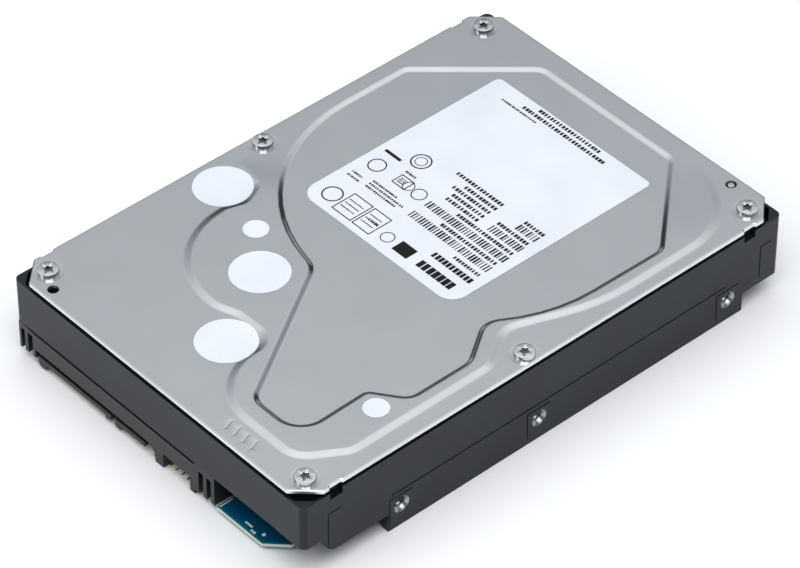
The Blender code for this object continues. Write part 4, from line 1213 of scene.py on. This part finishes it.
def mouth_cutter(x, y, z, tilt):
    """The cone that opens a mounting hole's mouth."""
    bm = bmesh.new()
    bmesh.ops.create_cone(
        bm, cap_ends=True, segments=40, radius1=MOUTH_BACK_RADIUS * MM,
        radius2=MOUTH_RADIUS * MM, depth=MOUTH_DEEP * MM,
    )
    turn = Matrix.Rotation(math.radians(tilt), 4, "Y")
    lift = Matrix.Translation((0, 0, -0.2 * MM))
    bmesh.ops.transform(
        bm, verts=bm.verts, matrix=Matrix.Translation((x * MM, y * MM, z * MM)) @ turn @ lift
    )
    mesh = bpy.data.meshes.new("mouth")
    bm.to_mesh(mesh)
    bm.free()
    item = bpy.data.objects.new("mouth", mesh)
    bpy.context.scene.collection.objects.link(item)
    return item


# Deep satin black with a faint blue cast: soft broad lights on the flats, a bright line on edges.
coat = finish(
    "black_electrocoat", "#0c1219", "#141c26", 0.0, 0.38, 0.5, bump=4.0, IOR=1.5,
    Specular_IOR_Level=0.29,
)
base = rounded_copy(
    "coated_base", "base_casting", 0.25, 2, coat, [mouth_cutter(*hole) for hole in MOUNT_HOLES]
)
settle(base, "housing", "black_coat", "base_casting")

# %% [markdown]
# ## Tapped holes
#
# The tap leaves bright aluminium: a countersunk ring at the mouth, and the first turns of the
# thread behind it. Beyond them the lining stops, and the bore keeps the base's black coat as
# painted shade for the dark depth of the hole. A thread is a helix, so the same bent grid
# makes it, with the level of its middle rings sinking by one pitch over a turn.

# %% Tapped holes
THREAD_PITCH = 0.8
THREAD_SIDES = 32


def thread_tree():
    """A bright countersunk mouth and the thread behind it, turned to face as each hole does."""
    tree, given, result = new_tree("tapped_hole", Pitch="Float", Material="Material")
    # The lining ends 2.45 mm in; the black coat beyond it is painted shade for the hole's depth.
    radii = [2.24, 1.68, 1.45, 1.68, 1.45, 1.68, 1.72, 1.72, 2.26]
    levels = [-0.01, -0.55, -0.6, -1.0, -1.4, -2.4, -2.45, -0.62, -0.02]
    helical = [0.0, 0.0, 1.0, 1.0, 1.0, 0.0, 0.0, 0.0, 0.0]
    columns = [[value * MM for value in radii], [value * MM for value in levels], helical]
    mesh, turn, (radius, flat_level, sinking) = polar_grid(tree, THREAD_SIDES, *columns)
    sunk = add_node(
        tree, "ShaderNodeMath", {"operation": "MULTIPLY"}, _0=turn, _1=given.outputs["Pitch"]
    )
    share = add_node(
        tree, "ShaderNodeMath", {"operation": "DIVIDE"}, _0=sunk.outputs[0], _1=2 * math.pi
    )
    level = add_node(
        tree, "ShaderNodeMath", {"operation": "MULTIPLY_ADD"},
        _0=share.outputs[0], _1=sinking, _2=flat_level,
    )
    lining = bent_round(tree, mesh, turn, radius, level.outputs[0])
    faced = add_node(tree, "GeometryNodeFlipFaces", Mesh=lining)
    tilt = add_node(
        tree, "GeometryNodeInputNamedAttribute", {"data_type": "FLOAT"}, Name="tilt"
    )
    way = add_node(tree, "ShaderNodeCombineXYZ", Y=tilt.outputs["Attribute"])
    placed = add_node(
        tree, "GeometryNodeInstanceOnPoints", Points=given.outputs["Geometry"],
        Instance=faced.outputs["Mesh"], Rotation=way.outputs["Vector"],
    )
    close_tree(tree, given, result, placed.outputs["Instances"])
    return tree


# Fresh cut metal with marks that run round the hole: a bright ring, with the painted shade of the
# black bore in its middle.
tapped = finish("freshly_cut_aluminium", "#a2a4a7", "#b9bbbe", 1.0, 0.3, 0.3, (1, 1, 4), 2.0)
threads = grown(
    "tapped_hole_threads", thread_tree(), [hole[:3] for hole in MOUNT_HOLES],
    {"tilt": [math.radians(hole[3]) for hole in MOUNT_HOLES]},
    Pitch=THREAD_PITCH * MM, Material=tapped,
)
settle(threads, "housing", "machined_aluminium")

# %% [markdown]
# ## The bead under the cover
#
# A rubber bead lies between the base's rim and the cover, and shows as the black line under the
# cover's edge. The CAD one leaves a gap on both sides so that the solids stay apart. The real one
# is squeezed, so a merged copy has its top and bottom moved to just short of both.

# %% The rubber bead under the cover
SQUEEZE_GAP = 0.02
bead_low = box_mm("base_casting")[1][2] + SQUEEZE_GAP
bead_high = FLANGE_Z - SHEET - SQUEEZE_GAP
bead_mesh = nodes["cover_gasket"].data.copy()
bead_mesh.materials.clear()
bm = bmesh.new()
bm.from_mesh(bead_mesh)
bmesh.ops.remove_doubles(bm, verts=bm.verts, dist=MERGE * MM)
gasket_middle = middle_of("cover_gasket")[2] * MM
for vertex in bm.verts:
    vertex.co.z = (bead_high if vertex.co.z > gasket_middle else bead_low) * MM
bm.to_mesh(bead_mesh)
bm.free()
bead = bpy.data.objects.new("gasket_bead", bead_mesh)
bpy.context.scene.collection.objects.link(bead)
# Matt black with no light on it, so the gap under the cover reads as a gap.
rubber = finish("moulded_rubber", "#101011", "#181819", 0.0, 0.8, 0.4, bump=8.0)
bead_mesh.materials.append(rubber)
settle(bead, "housing", "gasket_rubber", "cover_gasket")
print("bead from", bead_low, "to", bead_high)

# %% [markdown]
# ## The connector
#
# The data and power plug is one moulding in glass-filled black nylon. Mould parting and ejector
# marks are finer than any view here shows. Its edges are sharp, with a tenth of a millimetre of
# rounding, so the same edge-worn copy does it, with a finer bevel.

# %% The plug's moulding
PLUG_EDGE = 0.12
# Black with a dry gloss, a little greyer than the coat from its glass fibres.
nylon = finish("black_nylon_moulding", "#141517", "#1c1d20", 0.0, 0.45, 0.35, bump=3.0)
connector = rounded_copy("plug_moulding", "sata_connector", PLUG_EDGE, 2, nylon)
settle(connector, "housing", "black_plastic", "sata_connector")

# %% [markdown]
# ## Contacts and pins
#
# Gilded blades lie in the plug's two tongues, fifteen for power and seven for data, and four
# square pins stand beside them for jumpers. Both are a bar in a row with a narrowed tip. One
# tree doubles each row's point as often as its count says, and shapes the bar once.

# %% The contact tree
# A thin hard gold plating: warm, bright and clean against the black.
gold = finish("gold_flash", "#d9b45f", "#e6c77a", 1.0, 0.22, 0.4, bump=1.0)


def contact_tree():
    """Flat contacts in a row along X from each point, as many as the point's own count."""
    tree, given, result = new_tree(
        "contact_row", Pitch="Float", Size="Vector", Tip="Float", Material="Material"
    )
    count = add_node(tree, "GeometryNodeInputNamedAttribute", {"data_type": "FLOAT"}, Name="count")
    doubled = add_node(
        tree, "GeometryNodeDuplicateElements", {"domain": "POINT"},
        Geometry=given.outputs["Geometry"], Amount=count.outputs["Attribute"],
    )
    step = add_node(
        tree, "ShaderNodeMath", {"operation": "MULTIPLY"},
        _0=doubled.outputs["Duplicate Index"], _1=given.outputs["Pitch"],
    )
    shift = add_node(tree, "ShaderNodeCombineXYZ", X=step.outputs[0])
    moved = add_node(
        tree, "GeometryNodeSetPosition",
        Geometry=doubled.outputs["Geometry"], Offset=shift.outputs["Vector"],
    )
    blade = add_node(tree, "GeometryNodeMeshCube", Size=(1, 1, 1), Vertices_Y=5)
    here = add_node(tree, "GeometryNodeInputPosition")
    parts = add_node(tree, "ShaderNodeSeparateXYZ", Vector=here.outputs["Position"])
    narrow = add_node(
        tree, "ShaderNodeMapRange", Value=parts.outputs["Y"],
        From_Min=-0.5, From_Max=-0.25, To_Min=given.outputs["Tip"], To_Max=1.0,
    )
    thin = add_node(
        tree, "ShaderNodeCombineXYZ", X=narrow.outputs["Result"], Y=1.0, Z=narrow.outputs["Result"]
    )
    pointed = add_node(
        tree, "ShaderNodeVectorMath", {"operation": "MULTIPLY"},
        _0=here.outputs["Position"], _1=thin.outputs["Vector"],
    )
    shaped = add_node(
        tree, "GeometryNodeSetPosition",
        Geometry=blade.outputs["Mesh"], Position=pointed.outputs["Vector"],
    )
    placed = add_node(
        tree, "GeometryNodeInstanceOnPoints", Points=moved.outputs["Geometry"],
        Instance=shaped.outputs["Geometry"], Scale=given.outputs["Size"],
    )
    close_tree(tree, given, result, placed.outputs["Instances"])
    return tree


# %% [markdown]
# ## Contacts and pins in place
#
# The pitch of the contacts and of the jumper pins is set by their standards. Each row hangs
# from one point, measured back from the plug's front.

# %% Rows of contacts and pins
CONTACT_PITCH = 1.27
CONTACT_SIZE = (0.84, 6.2, 0.12)
CONTACT_BACK = 3.6
TONGUE_LOW_Z = 2.0
front_y = box_mm("sata_connector")[0][1]
row_of_contacts = contact_tree()
contacts = grown(
    "gilded_contacts", row_of_contacts,
    [(x, front_y + CONTACT_BACK, TONGUE_LOW_Z) for x in (-38.6, -12.9)],
    {"count": (15, 7)}, Pitch=CONTACT_PITCH * MM, Size=[side * MM for side in CONTACT_SIZE],
    Tip=0.6, Material=gold,
)
settle(contacts, "housing", "coil_copper")
PIN_PITCH, PIN_SIZE = 2.0, (0.5, 6.0, 0.5)
pins = grown(
    "jumper_pins", row_of_contacts, [(3.9, front_y + 3.2, 2.2)], {"count": (4,)},
    Pitch=PIN_PITCH * MM, Size=[side * MM for side in PIN_SIZE], Tip=0.45, Material=gold,
)
settle(pins, "housing", "coil_copper")

# %% [markdown]
# ## The circuit board
#
# The board is pale glass-epoxy laminate, 0.9 mm thick, under a deep blue solder mask. The mask
# looks darker over copper and lighter in the bare strip along the edge, and the sawn edge shows
# the laminate. An image could paint this, but three finishes on the one mesh, chosen by where a
# face is, give exactly that.

# %% The board
# Deep glossy blue over copper.
mask = finish(
    "blue_solder_mask", "#03415f", "#055074", 0.0, 0.22, 0.9, bump=4.0, Coat_Weight=0.4
)
# The same mask over pale laminate, where it turns green: a thin lighter border.
mask_edge = finish("solder_mask_over_bare_laminate", "#0d5a63", "#12717a", 0.0, 0.25, 0.8, bump=3.0)
# Sawn glass cloth in resin: a dry, pale green-white edge.
laminate = finish("sawn_glass_epoxy", "#b9cfc0", "#d2e0d4", 0.0, 0.7, 0.25, bump=12.0)
BORDER = 0.7


def make_board():
    """A merged copy of the CAD board with its mask, its bare border and its sawn edge."""
    mesh = nodes["circuit_board"].data.copy()
    mesh.materials.clear()
    bm = bmesh.new()
    bm.from_mesh(mesh)
    bmesh.ops.remove_doubles(bm, verts=bm.verts, dist=MERGE * MM)
    bmesh.ops.dissolve_limit(bm, angle_limit=math.radians(1), verts=bm.verts, edges=bm.edges)
    flat = [face for face in bm.faces if abs(face.normal.z) > 0.9]
    for face in bm.faces:
        face.material_index = 2
    bordered = bmesh.ops.inset_region(bm, faces=flat, thickness=BORDER * MM, depth=0)
    for face in bordered["faces"]:
        face.material_index = 1
    for face in flat:
        face.material_index = 0
    bm.to_mesh(mesh)
    bm.free()
    item = bpy.data.objects.new("bare_board", mesh)
    bpy.context.scene.collection.objects.link(item)
    for material in (mask, mask_edge, laminate):
        mesh.materials.append(material)
    return item


board = make_board()
settle(board, "housing", "board_laminate", "circuit_board")

print("board:", len(board.data.polygons), "faces")

# %% [markdown]
# ## Marks and pads on the board
#
# White marks are screened onto the mask, and tinned pads show through it where parts are
# soldered. They are rows of bars too, so the label's tree makes them.

# %% Print and pads on the board
# Flat white paint, a little uneven.
silk = finish("white_silkscreen", "#dfe3e0", "#eef1ef", 0.0, 0.5, 0.4, bump=1.0)
# Tin that has flowed and set: bright, soft-edged silver grey.
tinned = finish("tinned_copper", "#b4b6b8", "#cfd1d3", 1.0, 0.3, 0.4, bump=2.0)
PRINT_GAP = 0.01
BOARD_TOP = box_mm("circuit_board")[1][2]
BELOW_BOARD = BOARD_UNDERSIDE - INK - PRINT_GAP
on_top = [(21.1, -71.0, 0.22, 3.8, 0.22, SOLID), (28.6, -71.6, 2.8, 0.5, 0.6, WORDS)]
on_top += [(31.4, -72.4, 1.6, 0.6, 0.5, WORDS), (34.0, -71.2, 0.8, 0.8, 0.8, SOLID)]
print_rows("board_silk", on_top, BOARD_TOP + PRINT_GAP, 3, silk, "board_laminate")
EVEN = (0.5, 0.5)
tails = [(-38.9, -65.2, 19.1, 1.6, 1.27, EVEN), (-13.2, -65.2, 8.9, 1.6, 1.27, EVEN)]
tails += [(3.6, -65.2, 8.0, 1.2, 2.0, (0.4, 0.4))]
for k in range(9):
    tails.append((-34 + 7.3 * k, -52.0 + (k * 5) % 7 * 8.0, 6.0, 0.9, 1.2, EVEN))
print_rows("solder_pads", tails, BELOW_BOARD, 5, tinned, "board_laminate")
marks_below = [(-33 + 9.1 * k, -49.0 + (k * 3) % 5 * 11.0, 5.0, 0.8, 0.7, WORDS) for k in range(8)]
print_rows("silk_below", marks_below, BELOW_BOARD, 9, silk, "board_laminate")

# %% [markdown]
# ## Finishes for the pieces inside
#
# With the cover on, nothing inside is seen, but each part still gets the finish that the real
# one has, so a cut-away or an opened copy looks right. A CAD solid whose shape is right keeps
# its mesh, and only its material slots change. One table pairs each slot of the record with a
# finish: how it is made gives the grain, its stretch and its gloss.

# %% Inner finishes
inner_finishes = {
    "gasket_rubber": rubber,
    # Open cells: very rough dark grey that takes no highlight.
    "grey_foam": finish("open_cell_foam", "#2c2d30", "#4a4b4f", 0.0, 0.95, 0.5, bump=120.0),
    # Moulded chip bodies: even charcoal with a soft sheen.
    "chip_epoxy": finish("moulded_epoxy", "#17181a", "#202123", 0.0, 0.55, 0.3, bump=5.0),
    # A stack of punched sheets: fine lines across its height.
    "core_steel": finish("laminated_steel", "#5c5d61", "#74757a", 1.0, 0.4, 0.35, (0.1, 0.1, 4)),
    # Ground round: close rings and a tight bright light.
    "bearing_steel": finish(
        "ground_bearing_steel", "#a4a5a8", "#b8b9bc", 1.0, 0.16, 0.3, (1, 1, 6)
    ),
    # Turned on a lathe: bright rings from the tool.
    "machined_aluminium": finish(
        "turned_aluminium", "#b9babd", "#cfd0d3", 1.0, 0.26, 0.3, (1, 1, 5)
    ),
    # Plating over pressed powder: warm silver, slightly pebbled.
    "magnet_nickel": finish("nickel_plated_magnet", "#aaa79f", "#bdbab3", 1.0, 0.22, 0.8),
    # Sputtered film on polished substrate: a near-perfect mirror.
    "disk_coating": finish("sputtered_disk", "#a9aaae", "#b3b4b8", 1.0, 0.04, 2.0, bump=0.05),
    "screw_nickel": nickel,
    # Varnished wire wound side by side: reddish bands.
    "coil_copper": finish(
        "enamelled_copper", "#8a4524", "#a85a30", 0.9, 0.3, 0.3, (0.3, 4, 1), 30.0
    ),
    # Amber film, glossy and thin.
    "flex_film": finish("polyimide_film", "#9a5a12", "#b8731f", 0.0, 0.28, 0.8, bump=2.0),
    # Slippery off-white plastic with a waxy sheen.
    "white_plastic": finish("acetal_moulding", "#d3cfc2", "#e0ddd2", 0.0, 0.4, 0.5, bump=3.0),
}
slot_of = {part["node"]: part.get("material_slot") for part in frame["record"]["subparts"]}
for name, item in nodes.items():
    if item.hide_render:
        continue
    item.data.materials.clear()
    item.data.materials.append(inner_finishes[slot_of[name]])
print("finishes:", len(bpy.data.materials))

# %% [markdown]
# ## Size and finish
#
# The CAD model's box and the visual model's box are printed side by side. The visual
# model has to stay in the CAD model's box.

# %% Size and finish
made_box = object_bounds()
for title, (low, high) in (("CAD", cad_box), ("visual", made_box)):
    print(title, "box in mm:", np.round(np.array(low) / MM, 2), np.round(np.array(high) / MM, 2))
